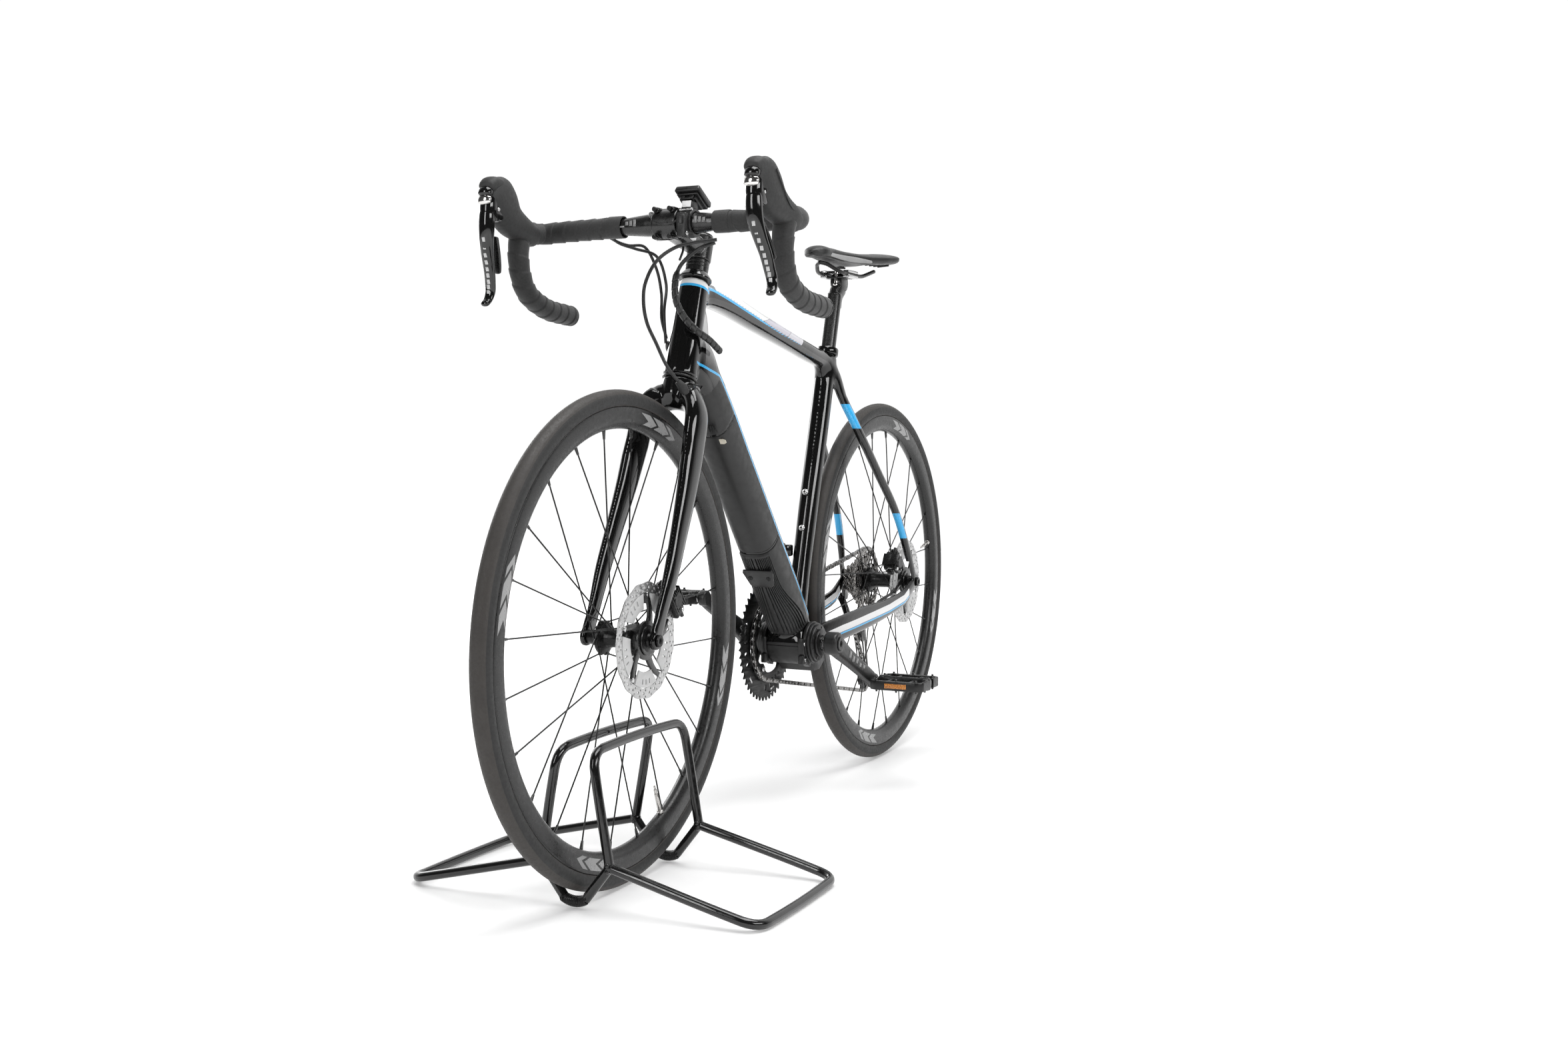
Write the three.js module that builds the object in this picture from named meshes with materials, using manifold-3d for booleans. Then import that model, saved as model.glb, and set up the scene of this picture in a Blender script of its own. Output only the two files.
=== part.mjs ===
// Drop-bar electric road bicycle with its front wheel held in a sprung wire stand.
// Millimetres. +X is forward, +Y is the rider's left, +Z is up.
// The origin is on the floor, midway between the two axles.
import * as THREE from 'three';
import { mergeVertices } from 'three/addons/utils/BufferGeometryUtils.js';
import Module from 'manifold-3d';

const wasm = await Module();
wasm.setup();

// ---- Driving dimensions ----
const GAP = 0.35;
const WHEEL_R = 339;
const TYRE_R = 14;
const HALF_BASE = 491.5;
const RIM_OUTER_R = 316;
const RIM_INNER_R = 286;
const RIM_HALF_WIDTH = 12;
const SPOKES_PER_SIDE = 12;
const WHEEL_SEGMENTS = 40;
const ROTOR_R = 80;
const ROTOR_THICKNESS = 1.8;
const FRONT_ROTOR_Y = 39;
const REAR_ROTOR_Y = 52;
const FORK_INNER_Y = 50;
const REAR_INNER_Y = 71;
const AXLE_R = 6;
const BB_X = -80;
const BB_Z = 269;
const SPINDLE_R = 12;
const HEAD_ANGLE = Math.atan2(1, 0.3247);
const HEAD_LOW = { x: 319.8, z: 699 };
const HEAD_LENGTH = 151;
const STEERER_R = 14.3;
const SEAT_SLOPE = 0.3049;
const POST_R = 13.6;
const CRANK_LENGTH = 172.5;
const CRANK_ANGLE = Math.atan2(82, 150);
const CHAIN_PITCH = 12.7;
const SMALL_RING_TEETH = 34;
const BIG_RING_TEETH = 50;
const CASSETTE_TEETH = [11, 12, 13, 14, 16, 18, 20, 22, 25, 27, 30];
const JOCKEY_TEETH = 11;
const BOLT_CIRCLE_R = 55;
const SPIDER_ANGLE = 0.6;
const SMALL_RING_Y = -41;
const BIG_RING_Y = -48;
const BIG_COG_Y = -28;
const COG_SPACING = 3.7;
const GUIDE = { x: -465.6, z: 243.2 };
const TENSION = { x: -486.7, z: 146 };
const BAR_R = 15.9;
const GRIP_R = 11.9;
const TAPE_R = 16;
const LEVER_PIVOT = { x: 490, y: 205, z: 928 };
const CLAMP_TILT = { x: -284, z: 889 };
const STAND_ROD_R = 6.5;

// ---- Finishes ----
const FINISHES = {
  gloss_black: [0x0b0b0d, 0.15, 0],
  satin_black: [0x1b1c1e, 0.45, 0],
  matte_black: [0x202123, 0.7, 0],
  black_metal: [0x141416, 0.35, 0.5],
  rubber: [0x1c1b1a, 0.85, 0],
  tape: [0x1d1d1e, 0.8, 0],
  rim: [0x2b2c2e, 0.4, 0.4],
  steel: [0xb9bcc0, 0.3, 0.9],
  rotor: [0xd8dadc, 0.3, 0.8],
  leather: [0x222224, 0.6, 0],
};

const part = new THREE.Group();

function add(name, finish, geometry) {
  const [color, roughness, metalness] = FINISHES[finish];
  const mesh = new THREE.Mesh(geometry, new THREE.MeshStandardMaterial({ color, roughness, metalness }));
  mesh.name = name;
  part.add(mesh);
  return mesh;
}

// ---- Small geometry tools ----
const V = (x, y, z) => new THREE.Vector3(x, y, z);

function welded(geometry) {
  const bare = geometry.clone();
  bare.deleteAttribute('normal');
  bare.deleteAttribute('uv');
  const merged = mergeVertices(bare, 1e-3);
  const source = merged.index.array;
  const kept = [];
  for (let i = 0; i < source.length; i += 3) {
    const [a, b, c] = [source[i], source[i + 1], source[i + 2]];
    if (a !== b && b !== c && c !== a) {
      kept.push(a, b, c);
    }
  }
  merged.setIndex(kept);
  return merged;
}

function toSolid(geometry) {
  const merged = welded(geometry);
  return new wasm.Manifold(new wasm.Mesh({
    numProp: 3,
    vertProperties: new Float32Array(merged.attributes.position.array),
    triVerts: new Uint32Array(merged.index.array),
  }));
}

function fromSolid(solid) {
  const mesh = solid.getMesh();
  const geometry = new THREE.BufferGeometry();
  geometry.setAttribute('position', new THREE.BufferAttribute(new Float32Array(mesh.vertProperties), 3));
  geometry.setIndex(new THREE.BufferAttribute(new Uint32Array(mesh.triVerts), 1));
  return geometry;
}

function join(...pieces) {
  return fromSolid(pieces.map(toSolid).reduce((sum, next) => sum.add(next)));
}

function cut(piece, ...tools) {
  return fromSolid(tools.map(toSolid).reduce((rest, tool) => rest.subtract(tool), toSolid(piece)));
}

function common(a, b) {
  return fromSolid(toSolid(a).intersect(toSolid(b)));
}

// Cuts a piece back from its neighbour, leaving a gap in the X, Y and Z directions.
function clearOf(piece, neighbour, gap = GAP) {
  const shifts = [V(gap, 0, 0), V(-gap, 0, 0), V(0, gap, 0), V(0, -gap, 0), V(0, 0, gap), V(0, 0, -gap)];
  return cut(piece, ...shifts.map((s) => neighbour.clone().translate(s.x, s.y, s.z)));
}

// The mirror image across the bicycle's middle plane, faces still pointing out.
function mirrorY(geometry) {
  const copy = welded(geometry);
  copy.scale(1, -1, 1);
  const index = copy.index.array;
  const turned = [];
  for (let i = 0; i < index.length; i += 3) {
    turned.push(index[i], index[i + 2], index[i + 1]);
  }
  copy.setIndex(turned);
  return copy;
}

function block(cx, cy, cz, dx, dy, dz) {
  return new THREE.BoxGeometry(dx, dy, dz).translate(cx, cy, cz);
}

// A cylinder between two points.
function bar(a, b, radius, sides = 12, endRadius = radius) {
  const span = b.clone().sub(a);
  const turn = new THREE.Quaternion().setFromUnitVectors(V(0, 1, 0), span.clone().normalize());
  const shape = new THREE.CylinderGeometry(endRadius, radius, span.length(), sides);
  return shape.applyQuaternion(turn).translate((a.x + b.x) / 2, (a.y + b.y) / 2, (a.z + b.z) / 2);
}

// A closed outline [radius, height] spun about an axis that runs along Y through (x, z).
function spunY(outline, x, z, segments) {
  const points = [...outline, outline[0]].map(([r, h]) => new THREE.Vector2(r, h));
  return new THREE.LatheGeometry(points, segments).translate(x, 0, z);
}

const disc = (r, y0, y1, x, z, segments = 12) => bar(V(x, y0, z), V(x, y1, z), r, segments);

const ring = (rIn, rOut, y0, y1, x, z, segments) =>
  spunY([[rIn, y0], [rOut, y0], [rOut, y1], [rIn, y1]], x, z, segments);

// A flat outline in the XZ plane, thickened along Y from y0 to y1.
function plate(shape, y0, y1, curveSegments = 8) {
  const solid = new THREE.ExtrudeGeometry(shape, { depth: y1 - y0, bevelEnabled: false, curveSegments });
  return solid.rotateX(Math.PI / 2).translate(0, y1, 0);
}

// The rings of a cylinder, each moved to its own station along a path.
// A station is { at, u, v, a, b }: centre, two section directions, and the half sizes along them.
function skin(stations, sides, power = 2) {
  const rows = stations.length;
  const shape = new THREE.CylinderGeometry(1, 1, 1, sides, rows - 1);
  const position = shape.attributes.position;
  const bend = (t) => Math.sign(t) * Math.abs(t) ** (2 / power);
  for (let i = 0; i < position.count; i += 1) {
    const row = Math.round((0.5 - position.getY(i)) * (rows - 1));
    const station = stations[row];
    const p = station.at.clone();
    p.addScaledVector(station.u, bend(position.getX(i)) * station.a);
    p.addScaledVector(station.v, bend(position.getZ(i)) * station.b);
    position.setXYZ(i, p.x, p.y, p.z);
  }
  return shape;
}

function tangents(points) {
  return points.map((p, i) => {
    const before = points[Math.max(i - 1, 0)];
    const after = points[Math.min(i + 1, points.length - 1)];
    return after.clone().sub(before).normalize();
  });
}

// A tube of changing section whose width lies across the bicycle.
// Each row is [x, y, z, half width, half depth].
function loft(rows, sides = 12, power = 2.3) {
  const points = rows.map((r) => V(r[0], r[1], r[2]));
  const along = tangents(points);
  const stations = rows.map((r, i) => {
    const u = V(0, 1, 0).addScaledVector(along[i], -along[i].y).normalize();
    const v = along[i].clone().cross(u);
    return { at: points[i], u, v, a: r[3], b: r[4] };
  });
  return skin(stations, sides, power);
}

// Ring frames carried along a path without twist.
function carriedFrames(points, first) {
  const along = tangents(points);
  let u = first.clone().addScaledVector(along[0], -along[0].dot(first)).normalize();
  return along.map((t, i) => {
    if (i > 0) {
      u = u.clone().applyQuaternion(new THREE.Quaternion().setFromUnitVectors(along[i - 1], t));
    }
    return { u: u.clone(), v: t.clone().cross(u) };
  });
}

// A round rod or tube along a path, with one radius or a radius for each point.
function rod(points, radius, sides = 8, first = V(0, 0, 1)) {
  const frames = carriedFrames(points, first);
  const stations = points.map((at, i) => {
    const r = Array.isArray(radius) ? radius[i] : radius;
    return { at, u: frames[i].u, v: frames[i].v, a: r, b: r };
  });
  return skin(stations, sides);
}

// Rounds the inner corners of a polyline.
function rounded(corners, radius, steps = 4) {
  const points = [corners[0]];
  for (let i = 1; i < corners.length - 1; i += 1) {
    const back = corners[i - 1].clone().sub(corners[i]);
    const ahead = corners[i + 1].clone().sub(corners[i]);
    const reach = Math.min(radius, back.length() / 2.2, ahead.length() / 2.2);
    const start = corners[i].clone().addScaledVector(back.normalize(), reach);
    const end = corners[i].clone().addScaledVector(ahead.normalize(), reach);
    points.push(...new THREE.QuadraticBezierCurve3(start, corners[i], end).getPoints(steps));
  }
  points.push(corners[corners.length - 1]);
  return points;
}

function smooth(points, steps) {
  return new THREE.CatmullRomCurve3(points, false, 'centripetal').getSpacedPoints(steps);
}

// A point on the steering axis at a distance up from the foot of the head tube.
function onSteerer(distance, ahead = 0, y = 0) {
  const dir = V(-Math.cos(HEAD_ANGLE), 0, Math.sin(HEAD_ANGLE));
  const forward = V(Math.sin(HEAD_ANGLE), 0, Math.cos(HEAD_ANGLE));
  return V(HEAD_LOW.x, y, HEAD_LOW.z).addScaledVector(dir, distance).addScaledVector(forward, ahead);
}

const onSeatTube = (z) => V(BB_X - (z - BB_Z) * SEAT_SLOPE, 0, z);

const pitchRadius = (teeth) => CHAIN_PITCH / (2 * Math.sin(Math.PI / teeth));

// A toothed wheel in the XZ plane, with a round hole.
function sprocket(teeth, y0, y1, x, z, holeR) {
  const pitchR = pitchRadius(teeth);
  const shape = new THREE.Shape();
  for (let i = 0; i < teeth; i += 1) {
    const step = (2 * Math.PI) / teeth;
    [[-0.5, -3.6], [0, 3.2]].forEach(([turn, rise], k) => {
      const angle = (i + turn) * step;
      const px = (pitchR + rise) * Math.cos(angle);
      const pz = (pitchR + rise) * Math.sin(angle);
      if (i === 0 && k === 0) {
        shape.moveTo(px, pz);
      } else {
        shape.lineTo(px, pz);
      }
    });
  }
  shape.closePath();
  shape.holes.push(new THREE.Path().absarc(0, 0, holeR, 0, 2 * Math.PI, true));
  return plate(shape, y0, y1, 6).translate(x, 0, z);
}

// ---- Stand ----
const STAND_FRONT_X = 611;
const STAND_REAR_X = 361;
const STAND_OUTER_Y = 265;
const STAND_FOOT_Y = 52;
const STAND_FOOT_Z = 58;
const HOOP_Y = 26;
const HOOP_Z = 207;
const SPRING_Z = 9;

function standHalf() {
  const foot = (x) => V(x, STAND_FOOT_Y, STAND_FOOT_Z);
  const hoop = rod(rounded([
    foot(STAND_FRONT_X),
    V(STAND_FRONT_X, HOOP_Y, HOOP_Z),
    V(STAND_REAR_X, HOOP_Y, HOOP_Z),
    foot(STAND_REAR_X),
  ], 28, 2), STAND_ROD_R, 8, V(1, 0, 0));
  const base = rod(rounded([
    foot(STAND_FRONT_X),
    V(STAND_FRONT_X, STAND_OUTER_Y, STAND_ROD_R),
    V(STAND_REAR_X, STAND_OUTER_Y, STAND_ROD_R),
    foot(STAND_REAR_X),
  ], 28, 2), STAND_ROD_R, 8, V(1, 0, 0));
  const stubs = [STAND_FRONT_X, STAND_REAR_X]
    .map((x) => bar(foot(x), V(x, 15, SPRING_Z + 2), STAND_ROD_R, 8));
  const knuckles = [STAND_FRONT_X, STAND_REAR_X].map((x) =>
    new THREE.SphereGeometry(STAND_ROD_R * 1.04, 8, 6).translate(x, STAND_FOOT_Y, STAND_FOOT_Z));
  const half = join(hoop, base, ...stubs, ...knuckles);
  half.computeBoundingBox();
  return half.translate(0, 0, -half.boundingBox.min.z);
}

const leftHalf = standHalf();
add('stand_left', 'gloss_black', leftHalf);
add('stand_right', 'gloss_black', mirrorY(leftHalf));

[['front', STAND_FRONT_X], ['rear', STAND_REAR_X]].forEach(([end, x]) => {
  const spring = rod([V(x, -11, SPRING_Z), V(x, 0, SPRING_Z - 1), V(x, 11, SPRING_Z)], 6.6, 10);
  add(`stand_spring_${end}`, 'black_metal', clearOf(clearOf(spring, leftHalf), mirrorY(leftHalf)));
});

// ---- Wheels ----
function tyre(x) {
  const centreR = WHEEL_R - TYRE_R;
  const seat = RIM_OUTER_R + GAP;
  const open = Math.acos((seat - centreR) / TYRE_R);
  const outline = [];
  const steps = 6;
  for (let i = 0; i <= steps; i += 1) {
    const angle = -open + (2 * open * i) / steps;
    outline.push([centreR + TYRE_R * Math.cos(angle), TYRE_R * Math.sin(angle)]);
  }
  return spunY(outline, x, WHEEL_R, WHEEL_SEGMENTS);
}

function rim(x) {
  const w = RIM_HALF_WIDTH;
  return spunY([
    [RIM_INNER_R, -3], [RIM_INNER_R + 16, -w], [RIM_OUTER_R, -w + 1],
    [RIM_OUTER_R, w - 1], [RIM_INNER_R + 16, w], [RIM_INNER_R, 3],
  ], x, WHEEL_R, WHEEL_SEGMENTS);
}

// The spokes of one side: they leave the flange in crossing pairs and reach the rim evenly spaced.
function spokes(x, flangeY, flangeR, startAngle) {
  const list = [];
  for (let i = 0; i < SPOKES_PER_SIDE; i += 1) {
    const rimAngle = startAngle + (2 * Math.PI * i) / SPOKES_PER_SIDE;
    const lean = i % 2 === 0 ? 1 : -1;
    const hubAngle = rimAngle + lean * 1.15;
    const hubX = x + flangeR * Math.cos(hubAngle);
    const hubZ = WHEEL_R + flangeR * Math.sin(hubAngle);
    const inner = V(hubX, flangeY + lean * 1.3, hubZ);
    const reach = RIM_INNER_R - 1;
    const outer = V(x + reach * Math.cos(rimAngle), lean * 0.4, WHEEL_R + reach * Math.sin(rimAngle));
    list.push(bar(inner, outer, 1.1, 3));
  }
  return list;
}

function hub(x, outline, flanges) {
  const shell = spunY(outline, x, WHEEL_R, 12);
  const step = Math.PI / SPOKES_PER_SIDE;
  return join(shell, ...flanges.flatMap(([y, r], k) => spokes(x, y, r, k * step + 0.11)));
}

const BORE_R = AXLE_R + GAP;
const frontHubOutline = [
  [BORE_R, -49.6], [10, -49.6], [12, -30], [23, -28.5], [23, -23.5], [13, -18], [13, 14],
  [21, 18.5], [21, 24], [16.8, 30], [16.8, 44], [10, 49.6], [BORE_R, 49.6],
];
const rearHubOutline = [
  [BORE_R, -70.6], [16.8, -68], [16.8, -24], [23, -22.5], [23, -16], [14, -10], [14, 24],
  [21, 29.5], [21, 36], [16.8, 42], [16.8, 58], [10, 70.6], [BORE_R, 70.6],
];

function rotor(x, y) {
  const half = ROTOR_THICKNESS / 2;
  const track = ring(64, ROTOR_R, y - half, y + half, x, WHEEL_R, 36);
  const boss = ring(17.4, 24, y - half, y + half, x, WHEEL_R, 12);
  const arms = [];
  for (let i = 0; i < 5; i += 1) {
    const arm = new THREE.BoxGeometry(46, ROTOR_THICKNESS, 9).translate(43, 0, 0);
    arms.push(arm.rotateY((2 * Math.PI * i) / 5).translate(x, y, WHEEL_R));
  }
  return join(track, boss, ...arms);
}

[['front', HALF_BASE, frontHubOutline, [[21.5, 19], [-26, 21]], FRONT_ROTOR_Y],
  ['rear', -HALF_BASE, rearHubOutline, [[32.5, 19], [-19, 21]], REAR_ROTOR_Y],
].forEach(([end, x, outline, flanges, rotorY]) => {
  add(`${end}_tyre`, 'rubber', tyre(x));
  add(`${end}_rim`, 'rim', rim(x));
  add(`${end}_hub_spokes`, 'black_metal', hub(x, outline, flanges));
  add(`${end}_rotor`, 'rotor', rotor(x, rotorY));
});

// ---- Fork ----
const bladeRows = [
  [331, 24, 668, 16, 24],
  [346, 41, 652, 12, 25],
  [364, 46, 606, 10.5, 24],
  [388, 49, 548, 10, 21],
  [418, 52, 486, 9, 18],
  [449, 54.5, 424, 8, 15],
  [475, 53.6, 371, 5.6, 13],
  [490, 54.2, 341, 4.2, 14],
  [496, 54.2, 326, 4.2, 11],
];
const leftBlade = loft(bladeRows, 8);
const crown = loft([
  [331, -30, 668, 19, 20], [331, -12, 673, 20, 22], [331, 12, 673, 20, 22], [331, 30, 668, 19, 20],
], 10);
const CROWN_TOP = -3.5;
const steerer = bar(onSteerer(-30), onSteerer(HEAD_LENGTH + 62), STEERER_R, 12);
const crownSeat = bar(onSteerer(-32), onSteerer(CROWN_TOP), 25, 12, 24);
const forkAxleHole = disc(BORE_R + 0.2, -70, 70, HALF_BASE, WHEEL_R, 10);
const dropouts = [1, -1].map((side) => disc(13, side * FORK_INNER_Y, side * 58.6, HALF_BASE, WHEEL_R, 12));
const innerLimit = block(HALF_BASE, 0, 330, 60, 2 * FORK_INNER_Y, 60);
const fork = cut(
  join(leftBlade, mirrorY(leftBlade), crown, crownSeat, steerer, ...dropouts),
  innerLimit,
  forkAxleHole,
);
add('fork', 'gloss_black', fork);

function axle(x, y) {
  return join(disc(AXLE_R, -y + 3, y + 1, x, WHEEL_R), disc(8, y + 0.5, y + 3.6, x, WHEEL_R));
}
add('front_axle', 'black_metal', axle(HALF_BASE, 58.6));

// ---- Disc brakes ----
// A caliper block lies square to the line from the axle, with a slot for the rotor and its pads.
function caliper(axleX, rotorY, angle, reach, size) {
  const slotR = 88;
  const body = new THREE.BoxGeometry(size[0], size[1], size[2]);
  body.rotateY(-angle).translate(reach * Math.cos(angle), rotorY + size[3], reach * Math.sin(angle));
  const slot = disc(slotR, rotorY - 4.4, rotorY + 4.4, 0, 0, 48);
  return cut(body, slot).translate(axleX, 0, WHEEL_R);
}

function pads(axleX, rotorY, angle) {
  const away = ROTOR_THICKNESS / 2 + 0.5;
  const sides = [1, -1].map((side) =>
    new THREE.BoxGeometry(26, 2.4, 20).translate(72, side * (away + 1.2), 0));
  const clip = new THREE.BoxGeometry(3, 2 * away + 3, 5).translate(83.5, 0, 0);
  const pair = join(...sides, clip);
  return pair.rotateY(-angle).translate(axleX, rotorY, WHEEL_R);
}

const FRONT_CALIPER_ANGLE = 2.48;
const REAR_CALIPER_ANGLE = 0.55;
add('front_caliper', 'satin_black',
  clearOf(caliper(HALF_BASE, FRONT_ROTOR_Y, FRONT_CALIPER_ANGLE, 78, [30, 30, 56, 2]), fork));
add('front_brake_pads', 'steel', pads(HALF_BASE, FRONT_ROTOR_Y, FRONT_CALIPER_ANGLE));

// ---- Headset, stem and handlebar ----
const coverTop = 12;
const stemLow = HEAD_LENGTH + 31;
const spacerOutline = [
  [STEERER_R + GAP, GAP], [25, GAP], [25, 3], [18.5, coverTop], [17.5, coverTop],
  [17.5, stemLow - HEAD_LENGTH - GAP], [STEERER_R + GAP, stemLow - HEAD_LENGTH - GAP],
];

// Places a solid made about the world Y axis on the steering axis, base at a distance up it.
function alongSteerer(geometry, distance) {
  const at = onSteerer(distance);
  const up = onSteerer(1).sub(onSteerer(0));
  return geometry.applyQuaternion(new THREE.Quaternion().setFromUnitVectors(V(0, 1, 0), up))
    .translate(at.x, at.y, at.z);
}
add('headset_spacers', 'satin_black', alongSteerer(spunY(spacerOutline, 0, 0, 16), HEAD_LENGTH));

const BAR_AT = V(350, 0, 916);
const STEM_FACE_HALF = 20;
const stemBody = join(
  alongSteerer(new THREE.CylinderGeometry(19, 19, 39, 14).translate(0, 19.5, 0), stemLow),
  loft([[266, 0, 893, 16, 11], [292, 0, 899, 15, 13], [326, 0, 909, 17, 15], [346, 0, 915, 19, 18]], 10),
  disc(21.5, -STEM_FACE_HALF, STEM_FACE_HALF, BAR_AT.x, BAR_AT.z, 16),
);
const stem = cut(
  stemBody,
  disc(BAR_R + GAP * 1.6, -40, 40, BAR_AT.x, BAR_AT.z, 16),
  bar(onSteerer(HEAD_LENGTH), onSteerer(HEAD_LENGTH + 90), STEERER_R + GAP * 1.6, 12),
);
add('stem', 'satin_black', stem);

// Half of the handlebar from the middle to the left end.
const barCorners = [
  V(350, 0, 916), V(350, 60, 916), V(351, 168, 914), V(362, 205, 911), V(410, 210, 905),
  V(420, 209, 868), V(404, 208, 826), V(356, 208, 804), V(283, 209, 797),
];
const barLine = new THREE.CatmullRomCurve3(barCorners, false, 'centripetal');
const BAR_STEPS = 20;
const barPoints = barLine.getSpacedPoints(BAR_STEPS);
const TAPE_FROM = 3;
const barRadii = barPoints.map((p) => THREE.MathUtils.mapLinear(
  THREE.MathUtils.clamp(p.y + (p.x - 350), 32, 70), 32, 70, BAR_R, GRIP_R));
const barFrames = carriedFrames(barPoints, V(0, 0, 1));

function barRun(from, to, radii) {
  const stations = [];
  for (let i = from; i <= to; i += 1) {
    stations.push({ at: barPoints[i], u: barFrames[i].u, v: barFrames[i].v, a: radii[i], b: radii[i] });
  }
  return skin(stations, 8);
}

const halfBar = barRun(0, BAR_STEPS, barRadii);
add('handlebar', 'satin_black', join(halfBar, mirrorY(halfBar), disc(BAR_R, -2, 2, BAR_AT.x, BAR_AT.z, 8)));

const tapeOuter = barRun(TAPE_FROM, BAR_STEPS, barPoints.map(() => TAPE_R));
const tapeHole = barRun(TAPE_FROM - 1, BAR_STEPS, barRadii.map((r) => r + GAP));
const tapeEnd = bar(barPoints[BAR_STEPS], barPoints[BAR_STEPS].clone().add(V(-6, 0, 0)), GRIP_R + GAP, 8);
const tape = cut(tapeOuter, tapeHole, tapeEnd);
add('bar_tape_left', 'tape', tape);
add('bar_tape_right', 'tape', mirrorY(tape));

// ---- Brake and shift levers ----
const { x: PX, y: PY, z: PZ } = LEVER_PIVOT;
const hoodBody = loft([
  [384, 209, 905, 15, 15], [414, 208.5, 911, 18, 19], [444, 207.5, 922, 17, 25],
  [467, 206, 942, 17, 32], [485, 205, 959, 15, 27], [495, 204, 971, 9, 13],
], 10);
const hood = cut(
  hoodBody,
  barRun(TAPE_FROM, BAR_STEPS, barPoints.map(() => TAPE_R + GAP)),
  disc(17, PY - 25, PY + 25, PX, PZ, 12),
  block(PX + 13, PY, PZ - 12, 26, 50, 30),
);
const bracket = join(
  disc(15.5, PY - 11, PY + 11, PX, PZ, 10),
  loft([[PX + 4, PY, PZ - 6, 9, 10], [PX + 9, PY, PZ - 20, 8, 7]], 8),
);
const blade = loft([
  [PX + 10, PY + 1, PZ - 25, 6, 6], [PX + 9, PY + 3, PZ - 45, 6, 6], [PX - 3, PY + 8, PZ - 68, 6.5, 5],
  [PX - 12, PY + 12, PZ - 92, 6.5, 4.5], [PX - 15, PY + 15, PZ - 112, 6, 4.5],
  [PX - 4, PY + 17, PZ - 127, 5, 4],
], 8);
const paddle = loft([
  [PX - 6, PY + 1, PZ - 36, 6, 3], [PX - 14, PY + 5, PZ - 58, 8, 2.5], [PX - 24, PY + 10, PZ - 82, 7, 2.2],
], 8);
[['left', (g) => g], ['right', mirrorY]].forEach(([side, place]) => {
  add(`hood_${side}`, 'rubber', place(hood));
  add(`lever_bracket_${side}`, 'gloss_black', place(bracket));
  add(`brake_lever_${side}`, 'gloss_black', place(blade));
  add(`shift_paddle_${side}`, 'satin_black', place(paddle));
});

// ---- Display ----
// The display sits beside the stem, leaning back towards the rider on a bracket that clamps the handlebar.
const DISPLAY_TILT = 0.5;
const DISPLAY_AT = { x: 333, y: 29, z: 955 };
const tilted = (dx, dy, dz, drop) => new THREE.BoxGeometry(dx, dy, dz).translate(0, 0, drop)
  .rotateY(-DISPLAY_TILT).translate(DISPLAY_AT.x, DISPLAY_AT.y, DISPLAY_AT.z);
const barSleeve = disc(BAR_R + GAP * 1.6, 0, 60, BAR_AT.x, BAR_AT.z, 16);
const mountClamp = join(
  disc(20.5, STEM_FACE_HALF + 3, 43, BAR_AT.x, BAR_AT.z, 16),
  block(374, 33, 912, 10, 18, 34),
  block(350, 33, 941, 18, 18, 12),
  tilted(26, 26, 8, -9.5),
);
add('display_mount', 'matte_black', cut(mountClamp, barSleeve));
add('display', 'matte_black', tilted(45, 40, 11, GAP));

// ---- Frame ----
const topTube = loft([
  [280, 0, 825, 19, 17], [198, 0, 821, 20, 17], [60, 0, 796, 19, 15],
  [-80, 0, 770, 17, 14], [-190, 0, 750, 16, 14], [-240, 0, 742, 14, 13],
], 10);
const seatTube = loft([
  [-80, 0, 269, 22, 20], [-105, 0, 345, 17, 17], [-151, 0, 500, 16.5, 17], [-201, 0, 660, 17, 17],
  [-223, 0, 735, 17.5, 17.5], [-230, 0, 758, 17.5, 17],
], 10);
const downRows = [
  [318, 0, 766, 18, 24], [296, 0, 742, 22, 30], [250, 0, 689, 28, 33], [150, 0, 569, 30, 34],
  [50, 0, 449, 31, 34], [-30, 0, 353, 32, 34], [-74, 0, 300, 32, 32],
];
const downTube = loft(downRows, 12, 2.8);
const downDir = V(0.641, 0, 0.767);
const underDir = V(0.767, 0, -0.641);

// A slab square to the down tube: from s0 to s1 along it, on its underside, below the given depth.
function underSlab(s0, s1, depth) {
  const size = 60;
  const centre = V(50, 0, 449)
    .addScaledVector(downDir, (s0 + s1) / 2)
    .addScaledVector(underDir, depth + size / 2);
  return new THREE.BoxGeometry(size, 120, s1 - s0)
    .rotateY(Math.atan2(downDir.x, downDir.z)).translate(centre.x, centre.y, centre.z);
}
const COVER_TOP = 322;
const COVER_SPLIT = 0;
const COVER_END = -196;
const COVER_DEPTH = 2;
const chainstayRows = [
  [-88, 30, 268, 12, 20], [-130, 42, 277, 9, 22], [-170, 50, 283, 8, 22], [-271, 60, 293, 7.5, 21],
  [-360, 65, 301, 7, 17], [-430, 69, 312, 6.5, 14], [-480, 73, 334, 4, 11],
];
const driveStayRows = [
  [-88, 20, 268, 12, 20], [-130, 25, 277, 8, 20], [-168, 28, 283, 7, 20], [-205, 42, 287, 7, 20],
  [-271, 60, 293, 7.5, 20], [-360, 65, 301, 6.5, 16], [-430, 69, 312, 6, 14], [-480, 73, 334, 4, 11],
];
const seatstayRows = [
  [-222, 8, 742, 8, 12], [-249, 20, 686, 7, 11], [-278, 35, 635, 7, 10], [-351, 48, 552, 7, 9],
  [-424, 60, 468, 6.5, 9], [-466, 68, 390, 6, 9], [-486, 73, 345, 4, 9],
];
const leftSeatstay = loft(seatstayRows, 8);
const headTube = bar(onSteerer(0), onSteerer(HEAD_LENGTH - GAP), 25, 16, 22);
const bbShell = disc(36, -34, 34, BB_X, BB_Z, 18);
const rearPlates = [1, -1].map((side) => disc(15, side * REAR_INNER_Y, side * 76.8, -HALF_BASE, WHEEL_R));
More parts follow.
